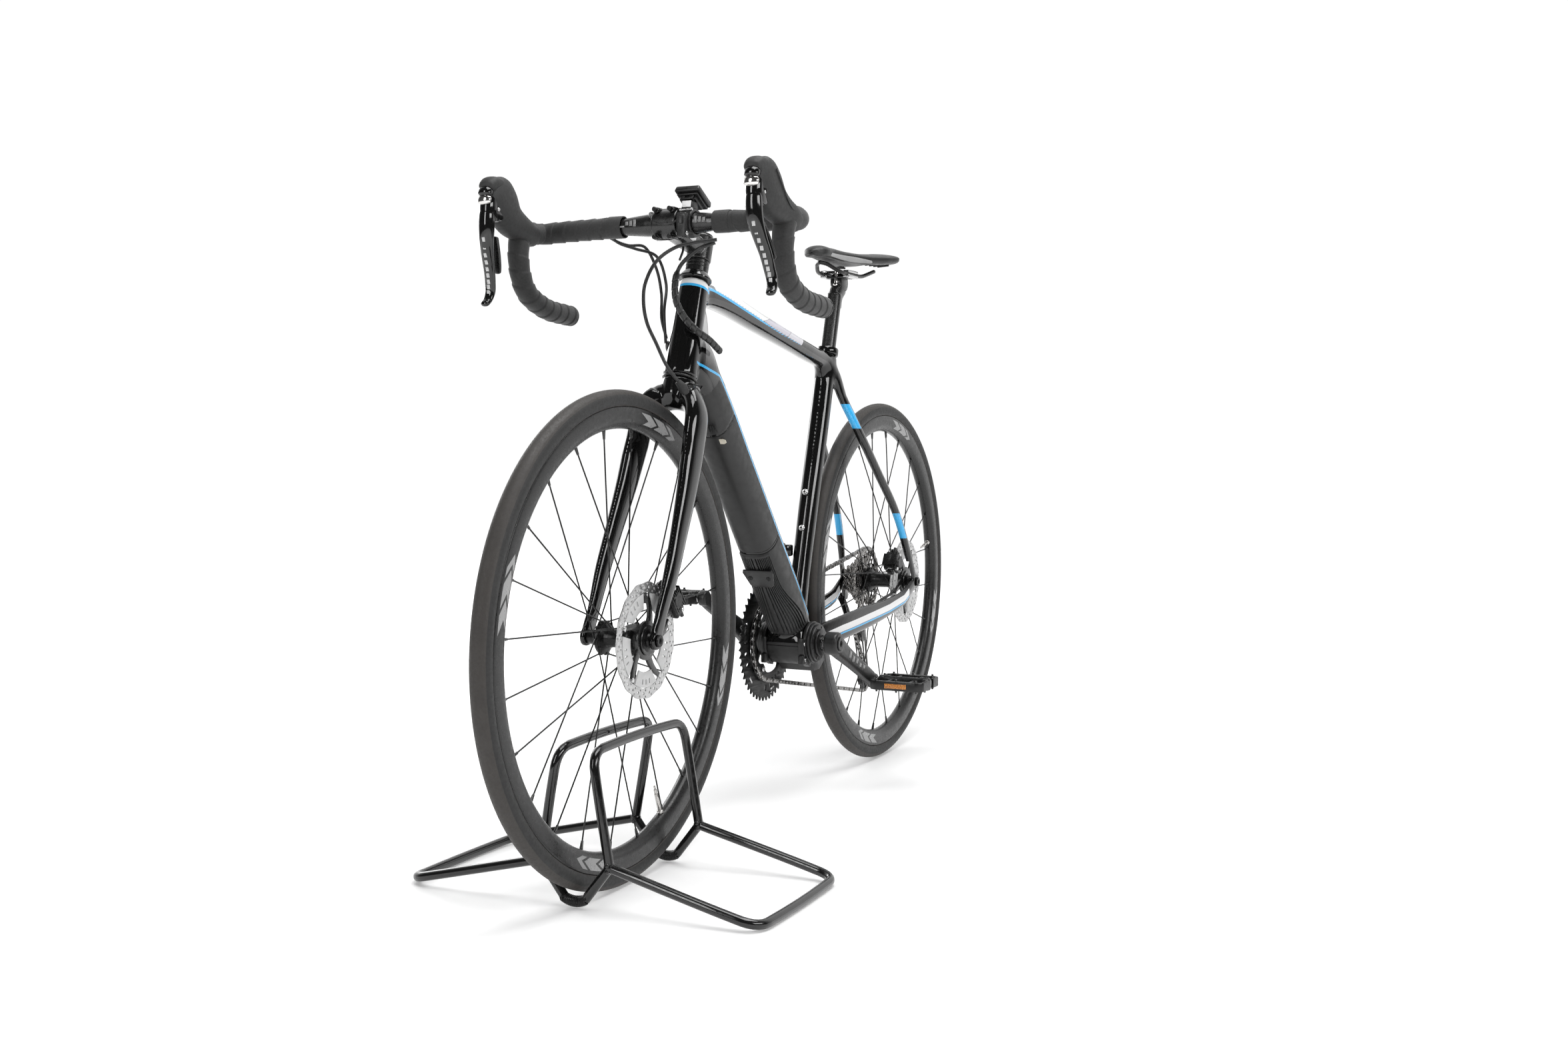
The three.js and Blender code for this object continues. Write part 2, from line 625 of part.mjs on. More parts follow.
const hanger = plate(new THREE.Shape([
  new THREE.Vector2(-484, 330), new THREE.Vector2(-506, 334), new THREE.Vector2(-512, 305),
  new THREE.Vector2(-496, 298), new THREE.Vector2(-488, 306),
]), -76.8, -REAR_INNER_Y);
const mechMount = block(-112, -22, 420, 16, 16, 20);
const boreTop = onSteerer(HEAD_LENGTH + 60);
const boreLow = onSteerer(-40);
const postBore = bar(onSeatTube(500), onSeatTube(790), POST_R + GAP * 1.7, 12);
const rearInner = block(-HALF_BASE, 0, 334, 60, 2 * REAR_INNER_Y, 90);
const frame = cut(
  join(
    headTube, topTube, seatTube, downTube, bbShell,
    loft(chainstayRows, 8), mirrorY(loft(driveStayRows, 8)),
    leftSeatstay, mirrorY(leftSeatstay), ...rearPlates, hanger, mechMount,
  ),
  bar(boreLow, boreTop, STEERER_R + 1, 16),
  bar(onSteerer(-45), onSteerer(0), 40, 16),
  bar(onSteerer(HEAD_LENGTH - GAP), onSteerer(HEAD_LENGTH + 60), 40, 16),
  postBore,
  disc(SPINDLE_R + 1, -60, 60, BB_X, BB_Z),
  disc(BORE_R, -90, 90, -HALF_BASE, WHEEL_R),
  rearInner,
  underSlab(COVER_END, COVER_TOP, COVER_DEPTH),
);
add('frame', 'gloss_black', frame);

const coverBody = (s0, s1) => common(loft(downRows, 12, 2.8), underSlab(s0, s1, COVER_DEPTH + GAP));
add('battery_cover', 'matte_black', coverBody(COVER_SPLIT + GAP, COVER_TOP - GAP));
const bellyClear = disc(37, -40, 40, BB_X, BB_Z, 24);
add('motor_cover', 'matte_black', cut(coverBody(COVER_END + GAP, COVER_SPLIT), bellyClear));

// The gearbox's skid box hangs under the bottom bracket shell, its front face sloping back.
const SKID_HALF_WIDTH = 31;
const skidShape = new THREE.Shape([
  new THREE.Vector2(-84, 238), new THREE.Vector2(-104, 216.5), new THREE.Vector2(-128, 216.5),
  new THREE.Vector2(-150, 230), new THREE.Vector2(-147, 242), new THREE.Vector2(-112, 242),
]);
const belly = cut(plate(skidShape, -SKID_HALF_WIDTH, SKID_HALF_WIDTH), bellyClear);
add('gearbox_case', 'matte_black', clearOf(belly, frame));
add('rear_axle', 'black_metal', axle(-HALF_BASE, 76.8));
add('rear_caliper', 'satin_black',
  clearOf(caliper(-HALF_BASE, REAR_ROTOR_Y, REAR_CALIPER_ANGLE, 76, [30, 26, 40, 0]), frame));
add('rear_brake_pads', 'steel', pads(-HALF_BASE, REAR_ROTOR_Y, REAR_CALIPER_ANGLE));

// ---- Seat ----
const postTop = onSeatTube(866);
const headBlock = loft([
  [postTop.x + 2, 0, 850, 12, 13], [postTop.x - 4, 0, 866, 12, 14], [CLAMP_TILT.x + 1, 0, 880, 12, 16],
], 12);
const seatpost = cut(
  join(bar(onSeatTube(600), postTop, POST_R, 12), headBlock),
  disc(17, -40, 40, CLAMP_TILT.x, CLAMP_TILT.z, 20),
);
add('seatpost', 'satin_black', seatpost);

const RAIL_Y = 22;
const RAIL_Z = 903;
const RAIL_R = 3.5;
const railLine = rounded([
  V(-196, 0, 917), V(-204, 9, 915), V(-236, RAIL_Y, RAIL_Z), V(-334, RAIL_Y, RAIL_Z), V(-392, 24, 918),
], 14, 3);
const rail = rod(railLine, RAIL_R, 6);
const rails = join(rail, mirrorY(rail), bar(V(-196, -3, 917), V(-196, 3, 917), RAIL_R, 8));
const railSlots = [RAIL_Y, -RAIL_Y]
  .map((y) => bar(V(-255, y, RAIL_Z), V(-315, y, RAIL_Z), RAIL_R + GAP * 1.8, 8));
const clampBlock = join(
  disc(16.5, -11, 11, CLAMP_TILT.x, CLAMP_TILT.z, 20),
  block(CLAMP_TILT.x, 0, RAIL_Z, 34, 2 * RAIL_Y + 14, 11),
);
add('rail_clamp', 'steel', cut(clampBlock, ...railSlots));

const saddleRows = [
  [-157, 0, 932, 9, 5], [-170, 0, 933, 18, 9], [-215, 0, 935, 20, 10], [-270, 0, 934, 27, 10],
  [-330, 0, 934, 48, 11], [-375, 0, 937, 66, 12], [-412, 0, 941, 66, 11], [-432, 0, 942, 46, 7],
];
const saddleBody = loft(saddleRows, 12, 2.4);
const saddleSplit = block(-300, 0, 900, 400, 200, 60);
add('saddle_cover', 'leather', cut(saddleBody, saddleSplit));
const shell = common(loft(saddleRows.map(([x, y, z, a, b]) => [x, y, z - 2, a * 0.96, b]), 12, 2.4),
  block(-300, 0, 899.6, 400, 200, 60));
add('saddle_shell', 'satin_black', shell);
add('saddle_rails', 'black_metal', rails);

// ---- Drive ----
const crankDir = V(-Math.cos(CRANK_ANGLE), 0, -Math.sin(CRANK_ANGLE));
const crankEnd = (turn) => V(BB_X, 0, BB_Z).addScaledVector(crankDir, turn * CRANK_LENGTH);

function crankArm(turn) {
  const end = crankEnd(turn);
  const mid = (t) => V(BB_X, 0, BB_Z).lerp(end, t);
  const rows = [[0, 78, 9, 19], [0.25, 79, 8.5, 16], [0.6, 84, 7.5, 13], [1, 88.5, 7, 12.5]];
  const arm = loft(rows.map(([t, y, w, d]) => [mid(t).x, y, mid(t).z, w, d]), 10, 3);
  return join(arm, disc(19, 64, 88, BB_X, BB_Z, 16), disc(12.5, 81.5, 95.5, end.x, end.z, 12),
    disc(AXLE_R, 90, 186, end.x, end.z, 10));
}
const spiderArms = [];
for (let i = 0; i < 4; i += 1) {
  const angle = SPIDER_ANGLE + (i * Math.PI) / 2;
  const reach = BOLT_CIRCLE_R + 2;
  const tip = V(BB_X + reach * Math.cos(angle), -57.5, BB_Z + reach * Math.sin(angle));
  spiderArms.push(bar(V(BB_X, -61, BB_Z), tip, 7, 6, 5));
}
add('crank_left', 'satin_black', cut(crankArm(1), disc(SPINDLE_R + GAP, 0, 76, BB_X, BB_Z)));
add('crank_right', 'satin_black',
  join(mirrorY(crankArm(-1)), disc(SPINDLE_R, -64, 75, BB_X, BB_Z), ...spiderArms));

const pillars = [];
for (let i = 0; i < 4; i += 1) {
  const angle = SPIDER_ANGLE + (i * Math.PI) / 2;
  const x = BB_X + BOLT_CIRCLE_R * Math.cos(angle);
  const z = BB_Z + BOLT_CIRCLE_R * Math.sin(angle);
  pillars.push(disc(5, BIG_RING_Y - 1, SMALL_RING_Y + 1, x, z, 8));
}
add('chainrings', 'black_metal', clearOf(join(
  sprocket(BIG_RING_TEETH, BIG_RING_Y - 1, BIG_RING_Y + 1, BB_X, BB_Z, 48),
  sprocket(SMALL_RING_TEETH, SMALL_RING_Y - 0.7, SMALL_RING_Y + 0.7, BB_X, BB_Z, 48),
  ...pillars,
), join(...spiderArms)));

// The cogs step down from the largest, next to the spokes, to the smallest.
const COG_HOLE_R = 17.3;
const cassetteOutline = [[COG_HOLE_R, BIG_COG_Y + 0.9]];
[...CASSETTE_TEETH].reverse().forEach((teeth, i) => {
  const r = pitchRadius(teeth) - (i === 0 ? 5 : 1);
  const y = BIG_COG_Y + 0.9 - COG_SPACING * i;
  cassetteOutline.push([r, y], [r, y - COG_SPACING]);
});
cassetteOutline.push([COG_HOLE_R, BIG_COG_Y + 0.9 - COG_SPACING * CASSETTE_TEETH.length]);
const steppedCogs = spunY(cassetteOutline.reverse(), -HALF_BASE, WHEEL_R, 16);
add('cassette', 'steel', steppedCogs);

// The pedal platform turns on the axle.
function pedal(turn) {
  const end = crankEnd(turn);
  const shape = new THREE.Shape([
    new THREE.Vector2(-44, -48), new THREE.Vector2(44, -48),
    new THREE.Vector2(48, -30), new THREE.Vector2(48, 40),
    new THREE.Vector2(42, 48), new THREE.Vector2(-42, 48),
    new THREE.Vector2(-48, 40), new THREE.Vector2(-48, -30),
  ]);
  const deck = new THREE.ExtrudeGeometry(shape, { depth: 16, bevelEnabled: false }).translate(0, 0, -8);
  const windows = [27, -27].map((x) => block(x, 0, 0, 22, 68, 30));
  const barrel = disc(11, -48, 46, 0, 0, 12);
  const solid = cut(join(cut(deck, ...windows), barrel), disc(BORE_R, -60, 40, 0, 0, 12));
  return solid.translate(end.x, 148, end.z);
}
add('pedal_left', 'matte_black', pedal(1));
add('pedal_right', 'matte_black', mirrorY(pedal(-1)));

// ---- Chain ----
// The chain's line runs over the small chainring and the largest cog, then round the two jockey wheels.
// A wheel is { x, z, r, y, turn }: turn is +1 where the chain runs clockwise seen from the right.
const chainWheels = [
  { x: BB_X, z: BB_Z, r: pitchRadius(SMALL_RING_TEETH), y: SMALL_RING_Y, turn: 1 },
  { x: TENSION.x, z: TENSION.z, r: pitchRadius(JOCKEY_TEETH), y: -30, turn: 1 },
  { x: GUIDE.x, z: GUIDE.z, r: pitchRadius(JOCKEY_TEETH), y: -30, turn: -1 },
  { x: -HALF_BASE, z: WHEEL_R, r: pitchRadius(30), y: BIG_COG_Y, turn: 1 },
];

// The straight run between two wheels: where it leaves the first and meets the second.
function tangentRun(from, to) {
  const dx = to.x - from.x;
  const dz = to.z - from.z;
  const length = Math.hypot(dx, dz);
  const lean = Math.asin((to.turn * to.r - from.turn * from.r) / length);
  const heading = Math.atan2(dz, dx) + lean;
  const normal = heading + Math.PI / 2;
  const point = (w) => V(w.x + w.turn * w.r * Math.cos(normal), w.y, w.z + w.turn * w.r * Math.sin(normal));
  return [point(from), point(to)];
}

function chainLine() {
  const runs = chainWheels.map((wheel, i) => tangentRun(wheel, chainWheels[(i + 1) % chainWheels.length]));
  const points = [];
  chainWheels.forEach((wheel, i) => {
    const arrive = runs[(i + chainWheels.length - 1) % chainWheels.length][1];
    const leave = runs[i][0];
    const a0 = Math.atan2(arrive.z - wheel.z, arrive.x - wheel.x);
    let sweep = Math.atan2(leave.z - wheel.z, leave.x - wheel.x) - a0;
    while (sweep * wheel.turn > 0) {
      sweep -= wheel.turn * 2 * Math.PI;
    }
    const steps = Math.max(3, Math.round((Math.abs(sweep) * wheel.r) / 24));
    for (let k = 0; k <= steps; k += 1) {
      const angle = a0 + (sweep * k) / steps;
      points.push(V(wheel.x + wheel.r * Math.cos(angle), wheel.y, wheel.z + wheel.r * Math.sin(angle)));
    }
  });
  return points;
}

// One side's plates as a closed band.
function chainBand(points, offset) {
  const half = 3.6;
  const thick = 1.1;
  const across = tangents([points[points.length - 1], ...points, points[0]]).slice(1, -1)
    .map((t) => V(t.z, 0, -t.x).normalize());
  const outlineAt = (side) => points.map((p, i) => V(p.x, p.y, p.z).addScaledVector(across[i], side * half));
  const outer = outlineAt(1);
  const inner = outlineAt(-1);
  const quad = (list, dy) => list.map((p) => p.clone().add(V(0, offset + dy, 0)));
  const rails = [
    quad(outer, thick / 2), quad(outer, -thick / 2),
    quad(inner, -thick / 2), quad(inner, thick / 2),
  ];
  const count = points.length;
  const vertices = rails.flat().flatMap((p) => [p.x, p.y, p.z]);
  const index = [];
  for (let i = 0; i < count; i += 1) {
    const j = (i + 1) % count;
    for (let k = 0; k < 4; k += 1) {
      const m = (k + 1) % 4;
      const [a, b, c, d] = [k * count + i, k * count + j, m * count + j, m * count + i];
      index.push(a, b, c, a, c, d);
    }
  }
  const band = new THREE.BufferGeometry();
  band.setAttribute('position', new THREE.Float32BufferAttribute(vertices, 3));
  band.setIndex(index);
  return band;
}

function chain() {
  const points = chainLine();
  const bands = [2.2, -2.2].map((offset) => chainBand(points, offset));
  const pins = [];
  chainWheels.forEach((wheel, i) => {
    const [a, b] = tangentRun(wheel, chainWheels[(i + 1) % chainWheels.length]);
    const count = Math.min(3, Math.floor(a.distanceTo(b) / 60));
    for (let k = 1; k <= count; k += 1) {
      const p = a.clone().lerp(b, k / (count + 1));
      pins.push(disc(2, p.y - 2.4, p.y + 2.4, p.x, p.z, 6));
    }
  });
  return join(...bands, ...pins);
}
const chainSolid = chain();
add('chain', 'steel', chainSolid);

// ---- Derailleurs ----
// The front cage straddles the chain above the rings, on an arm that swings from the seat tube.
function cagePlate(rIn, rOut, y0, y1, from, to) {
  const shape = new THREE.Shape();
  shape.absarc(0, 0, rOut, from, to, false);
  shape.absarc(0, 0, rIn, to, from, true);
  shape.closePath();
  return plate(shape, y0, y1, 2).translate(BB_X, 0, BB_Z);
}
const cageFrom = 1.62;
const cageTo = 2.2;
const frontMech = join(
  cagePlate(108, 124, -46.4, -45.2, cageFrom, cageTo),
  cagePlate(100, 124, -35.8, -34.6, cageFrom, cageTo),
  cagePlate(121, 124, -46.4, -34.6, cageTo - 0.1, cageTo),
  cagePlate(121, 124, -46.4, -34.6, cageFrom, cageFrom + 0.1),
  bar(V(-104, -36.4, 389), V(-112, -35, 424), 5, 8),
  bar(V(-122, -36, 426), V(-102, -36, 426), 6, 10),
);
add('front_derailleur', 'black_metal', frontMech);

const LINK_LOW = V(-466, -50, 250);
const LINK_HIGH = V(-499, -84, 302);
const linkAxis = V(-0.851, 0, -0.525);
const linkEnd = (at, r, half) =>
  bar(at.clone().addScaledVector(linkAxis, half), at.clone().addScaledVector(linkAxis, -half), r, 10);
const knuckle = join(
  linkEnd(LINK_LOW, 6.5, 9),
  disc(9, -55, -38.4, GUIDE.x, GUIDE.z, 12),
);
const links = clearOf(join(
  linkEnd(LINK_HIGH, 7, 9),
  bar(LINK_HIGH, LINK_LOW, 6.5, 8),
), knuckle, 0.5);
add('rear_derailleur_links', 'satin_black', clearOf(links, frame, 0.5));
add('rear_derailleur_knuckle', 'satin_black', knuckle);

function cageSide(y0, y1) {
  const capsule = new THREE.Shape();
  const heading = Math.atan2(TENSION.z - GUIDE.z, TENSION.x - GUIDE.x);
  capsule.absarc(TENSION.x, TENSION.z, 11, heading - Math.PI / 2, heading + Math.PI / 2, false);
  capsule.absarc(GUIDE.x, GUIDE.z, 12, heading + Math.PI / 2, heading + (3 * Math.PI) / 2, false);
  capsule.closePath();
  return plate(capsule, y0, y1, 6);
}
const wheelPins = [GUIDE, TENSION].map((w) => disc(3, -37.5, -22.5, w.x, w.z, 8));
add('rear_derailleur_cage', 'black_metal', join(cageSide(-38, -36.4), cageSide(-23.6, -22), ...wheelPins));
[['guide', GUIDE], ['tension', TENSION]].forEach(([name, w]) => {
  add(`jockey_${name}`, 'matte_black', sprocket(JOCKEY_TEETH, -30.9, -29.1, w.x, w.z, 3.5));
});

// ---- Cables ----
function cable(points, radius, steps) {
  return rod(smooth(points.map((p) => V(...p)), steps), radius, 6);
}
const frontHose = cable([
  [357, 79, 890], [371, 50, 886], [383, 25, 878], [389, 0, 860], [399, -12, 830], [405, -12, 806],
  [413, -2, 773], [409, 10, 745], [402, 24, 712], [386, 36, 688],
], 2.5, 22);
add('front_brake_hose', 'rubber', frontHose);
const shiftCableR = 2.2;
const shiftA = cable([
  [330, -82, 893], [298, -70, 893], [290, -55, 862], [293, -45, 826], [312, -34, 786], [316, -26, 757],
], shiftCableR, 10);
const shiftB = cable([
  [330, -82, 893], [283, -58, 880], [284, -42, 840], [310, -31, 795], [316, -26, 757],
], shiftCableR, 10);
add('shift_cables', 'rubber', join(shiftA, shiftB));
const bundle = cable([
  [345, 70, 888], [352, 50, 880], [350, 30, 869], [345, 13, 855], [348, 8, 836],
  [349, 10, 808], [341, 17, 787], [322, 27, 768], [294, 34, 755], [262, 36, 740],
], 3, 20);
add('hose_bundle', 'rubber', bundle);

export default part;
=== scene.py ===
"""Electric road bicycle in its floor stand.

Sizes in this file are millimetres in the row frame (+X forward, +Y the rider's left, +Z up);
piece() turns them into metres.
"""
import math

import bmesh
import bpy
import numpy as np
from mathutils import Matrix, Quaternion, Vector


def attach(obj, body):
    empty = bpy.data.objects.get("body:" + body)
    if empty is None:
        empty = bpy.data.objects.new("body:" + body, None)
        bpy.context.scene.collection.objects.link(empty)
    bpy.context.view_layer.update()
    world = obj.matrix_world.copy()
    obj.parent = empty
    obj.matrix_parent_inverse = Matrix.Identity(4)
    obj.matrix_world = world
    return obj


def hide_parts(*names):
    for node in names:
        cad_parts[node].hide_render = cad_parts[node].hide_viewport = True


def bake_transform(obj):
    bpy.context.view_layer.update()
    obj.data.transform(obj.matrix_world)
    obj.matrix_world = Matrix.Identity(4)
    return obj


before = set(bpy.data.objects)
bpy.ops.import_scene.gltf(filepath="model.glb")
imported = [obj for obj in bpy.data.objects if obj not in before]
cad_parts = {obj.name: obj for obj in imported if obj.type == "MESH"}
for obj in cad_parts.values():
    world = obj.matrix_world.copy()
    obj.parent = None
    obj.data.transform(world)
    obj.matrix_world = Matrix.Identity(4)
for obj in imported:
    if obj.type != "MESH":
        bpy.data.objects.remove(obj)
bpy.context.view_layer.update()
MM = 0.001
TAU = 2 * math.pi


# ---------------------------------------------------------------- geometry
def geo(verts, faces):
    return np.array(verts, float).reshape(-1, 3), [tuple(f) for f in faces]


def merged(*parts):
    """Several shapes as one."""
    verts, faces, base = [], [], 0
    for v, f in parts:
        verts.append(v)
        faces += [tuple(i + base for i in face) for face in f]
        base += len(v)
    return np.concatenate(verts), faces


def moved(shape, offset):
    return shape[0] + np.array(offset, float), shape[1]


def turned(shape, angle, axis, about=(0, 0, 0)):
    """The shape turned about an axis through a point."""
    turn = np.array(Quaternion(axis, angle).to_matrix())
    centre = np.array(about, float)
    return (shape[0] - centre) @ turn.T + centre, shape[1]


def mirrored(shape):
    """The shape on the other side of the bicycle's middle plane."""
    return shape[0] * (1, -1, 1), [tuple(reversed(f)) for f in shape[1]]


def both_sides(shape):
    return merged(shape, mirrored(shape))


def same(shape):
    return shape


SIDES = (("left", same), ("right", mirrored))


def unit(v):
    return v / max(np.linalg.norm(v), 1e-9)


def travelled(points):
    """Distance along a path to each of its points."""
    return np.concatenate([[0], np.cumsum(np.linalg.norm(np.diff(points, axis=0), axis=1))])


DOME_STEPS = np.array([0.0, 0.04, 0.15, 0.32, 0.55, 0.8])


def resampled(rows, step, dome=(0, 0)):
    """Rows of [x, y, z, ...] along a smooth curve at an even step, closer together in domed ends."""
    rows = np.array(rows, float)
    at = travelled(rows[:, :3])
    slope = np.gradient(rows, at, axis=0, edge_order=1)
    count = max(2, int(round(at[-1] / step)))
    where = list(np.linspace(0, at[-1], count + 1))
    if dome[0]:
        where = [dome[0] * t for t in DOME_STEPS] + [s for s in where if s > dome[0]]
    if dome[1]:
        where = [s for s in where if s < at[-1] - dome[1]] + [at[-1] - dome[1] * t for t in DOME_STEPS[::-1]]
    out = []
    for s in where:
        i = min(int(np.searchsorted(at, s, side="right")) - 1, len(at) - 2)
        i = max(i, 0)
        h = at[i + 1] - at[i]
        t = (s - at[i]) / h
        a = (1 + 2 * t) * (1 - t) ** 2 * rows[i] + t * (1 - t) ** 2 * h * slope[i]
        b = t * t * (3 - 2 * t) * rows[i + 1] + t * t * (t - 1) * h * slope[i + 1]
        out.append(a + b)
    return np.array(out), np.array(where)


def path_tangents(points):
    """Unit directions along a path."""
    ahead = np.roll(points, -1, axis=0)
    behind = np.roll(points, 1, axis=0)
    ahead[-1], behind[0] = points[-1], points[0]
    step = ahead - behind
    return step / np.maximum(np.linalg.norm(step, axis=1, keepdims=True), 1e-9)


def skinned(rings, closed=False):
    """Faces between rings of points; the two ends are capped unless the run closes on itself."""
    count, sides = len(rings), len(rings[0])
    verts = np.concatenate(rings)
    faces = []
    for i in range(count if closed else count - 1):
        a, b = i * sides, ((i + 1) % count) * sides
        for k in range(sides):
            m = (k + 1) % sides
            faces.append((a + k, a + m, b + m, b + k))
    if not closed:
        faces.append(tuple(range(sides))[::-1])
        faces.append(tuple((count - 1) * sides + k for k in range(sides)))
    return verts, faces


def bent(values, power):
    """Sines or cosines bent towards a rounded rectangle; a power of 2 keeps the circle."""
    return np.sign(values) * np.abs(values) ** (2 / power)


def loft(rows, sides=32, power=2.3, step=7, dome=(0, 0), across=(0, 1, 0)):
    """A tube of changing section; each row is [x, y, z, half width, half depth]."""
    path, where = resampled(rows, step, dome)
    along = path_tangents(path[:, :3])
    angles = np.arange(sides) * TAU / sides
    ca, sa = bent(np.sin(angles), power), bent(np.cos(angles), power)
    rings = []
    for i, row in enumerate(path):
        u = unit(np.array(across, float) - along[i] * np.dot(across, along[i]))
        v = np.cross(along[i], u)
        shrink = 1.0
        for end, length in ((where[i], dome[0]), (where[-1] - where[i], dome[1])):
            if length and end < length:
                shrink *= math.sqrt(max(1 - (1 - end / length) ** 2, 0.0004))
        rings.append(row[:3] + np.outer(ca * row[3] * shrink, u) + np.outer(sa * row[4] * shrink, v))
    return skinned(rings)


def carried(points, first):
    """Section directions carried along a path without twist."""
    along = path_tangents(points)
    u = unit(np.array(first, float) - along[0] * np.dot(first, along[0]))
    frames = []
    for i, t in enumerate(along):
        u = unit(u - t * np.dot(u, t))
        frames.append((u, np.cross(t, u)))
    return frames


def tube(points, radius, sides=16, step=None, first=(0.03, 0.1, 1), dome=0, wave=None):
    """A round tube along a path. radius is a number or a function of (distance, angle)."""
    points = np.array(points, float)
    if step:
        points = resampled(points, step, (dome, dome))[0]
    at = travelled(points)
    angles = np.arange(sides) * TAU / sides
    rings = []
    for i, (u, v) in enumerate(carried(points, first)):
        r = radius(at[i], angles) if callable(radius) else radius
        if dome:
            for end in (at[i], at[-1] - at[i]):
                if end < dome:
                    r = r * math.sqrt(max(1 - (1 - end / dome) ** 2, 0.0016))
        r = np.broadcast_to(r, angles.shape)
        rings.append(points[i] + np.outer(np.cos(angles) * r, u) + np.outer(np.sin(angles) * r, v))
    return skinned(rings)


def rounded(corners, radius, steps=8):
    """A polyline with its inner corners rounded."""
    corners = np.array(corners, float)
    out = [corners[0]]
    for a, b, c in zip(corners, corners[1:], corners[2:]):
        reach = min(radius, np.linalg.norm(a - b) / 2.2, np.linalg.norm(c - b) / 2.2)
        start, end = b + unit(a - b) * reach, b + unit(c - b) * reach
        for t in np.linspace(0, 1, steps + 1):
            out.append((1 - t) ** 2 * start + 2 * t * (1 - t) * b + t * t * end)
    out.append(corners[-1])
    return np.array(out)


def spun(outline, centre=(0, 0, 0), axis=(0, 1, 0), segments=64, start=0.0):
    """A closed outline of (radius, height) turned about an axis through centre."""
    rings = []
    for k in range(segments):
        angle = start + k * TAU / segments
        rings.append(np.array([(r * math.cos(angle), h, r * math.sin(angle)) for r, h in outline]))
    shape = skinned(rings, closed=True)
    turn = Vector((0, 1, 0)).rotation_difference(Vector(axis))
    verts = shape[0] @ np.array(turn.to_matrix()).T + np.array(centre, float)
    return verts, shape[1]


def disc(radius, y0, y1, x, z, edge=0.6, hole=0.0, segments=40):
    """A washer or button about a Y axis through (x, z), its edges rounded off."""
    low, high = min(y0, y1), max(y0, y1)
    edge = min(edge, (high - low) / 2.2)
    inner = max(hole, 0.02)
    outline = [(inner, low), (radius - edge, low), (radius - edge * 0.3, low + edge * 0.3),
               (radius, low + edge), (radius, high - edge), (radius - edge * 0.3, high - edge * 0.3),
               (radius - edge, high), (inner, high)]
    return spun(outline, (x, 0, z), segments=segments)


def pin(a, b, radius, sides=20, edge=0.5, end_radius=None):
    """A round pin from a to b with rounded ends."""
    a, b = np.array(a, float), np.array(b, float)
    length = np.linalg.norm(b - a)
    last = radius if end_radius is None else end_radius
    edge = min(edge, length / 2.2)
    outline = [(0.02, 0), (radius - edge, 0), (radius, edge), (last, length - edge),
               (last - edge, length), (0.02, length)]
    return spun(outline, a, tuple(unit(b - a)), sides)


def block(centre, size, edge=1.0, segments=3, turn=None, taper=None):
    """A box with rounded edges. taper scales its top in X and Y."""
    bm = bmesh.new()
    bmesh.ops.create_cube(bm, size=1.0)
    for v in bm.verts:
        grow = taper if taper and v.co.z > 0 else (1, 1)
        v.co = Vector((v.co.x * size[0] * grow[0], v.co.y * size[1] * grow[1], v.co.z * size[2]))
    if edge > 0:
        bmesh.ops.bevel(bm, geom=bm.edges[:], offset=edge, segments=segments, profile=0.5, affect="EDGES")
    shape = from_bmesh(bm)
    if turn:
        shape = turned(shape, turn[0], turn[1])
    return moved(shape, centre)


def from_bmesh(bm):
    bm.verts.ensure_lookup_table()
    bm.verts.index_update()
    out = geo([tuple(v.co) for v in bm.verts], [[v.index for v in f.verts] for f in bm.faces])
    bm.free()
    return out


def to_mesh(name, shape):
    mesh = bpy.data.meshes.new(name)
    mesh.from_pydata([tuple(v) for v in shape[0]], [], shape[1])
    return mesh


def modified(shape, *steps):
    """The shape after a stack of modifiers; each step is (type, settings)."""
    obj = bpy.data.objects.new("work", to_mesh("work", shape))
    bpy.context.scene.collection.objects.link(obj)
    for kind, settings in steps:
        modifier = obj.modifiers.new(kind, kind)
        for key, value in settings.items():
            setattr(modifier, key, value)
    mesh = bpy.data.meshes.new_from_object(obj.evaluated_get(bpy.context.evaluated_depsgraph_get()))
    out = from_mesh(mesh)
    bpy.data.objects.remove(obj)
    bpy.data.meshes.remove(mesh)
    return out


def from_mesh(mesh):
    verts = np.zeros(len(mesh.vertices) * 3)
    mesh.vertices.foreach_get("co", verts)
    return verts.reshape(-1, 3), [tuple(p.vertices) for p in mesh.polygons]


def fused(shape, voxel, rounds=4, factor=0.6):
    """One skin over overlapping shapes, with the junctions blended."""
    return modified(
        shape,
        ("REMESH", {"mode": "VOXEL", "voxel_size": voxel, "adaptivity": 0.0}),
        ("SMOOTH", {"factor": factor, "iterations": rounds}),
    )


def carved(shape, *tools):
    """The shape less the tools."""
    cutter = bpy.data.objects.new("cutter", to_mesh("cutter", merged(*[outward(t) for t in tools])))
    bpy.context.scene.collection.objects.link(cutter)
    out = modified(outward(shape),
                   ("BOOLEAN", {"operation": "DIFFERENCE", "object": cutter, "solver": "EXACT",
                                                "use_self": True}))
    bpy.data.objects.remove(cutter)
    return out


def outward(shape):
    """The shape with all its faces turned outwards."""
    bm = bmesh.new()
    mesh = to_mesh("flip", shape)
    bm.from_mesh(mesh)
    bpy.data.meshes.remove(mesh)
    bmesh.ops.recalc_face_normals(bm, faces=bm.faces[:])
    return from_bmesh(bm)


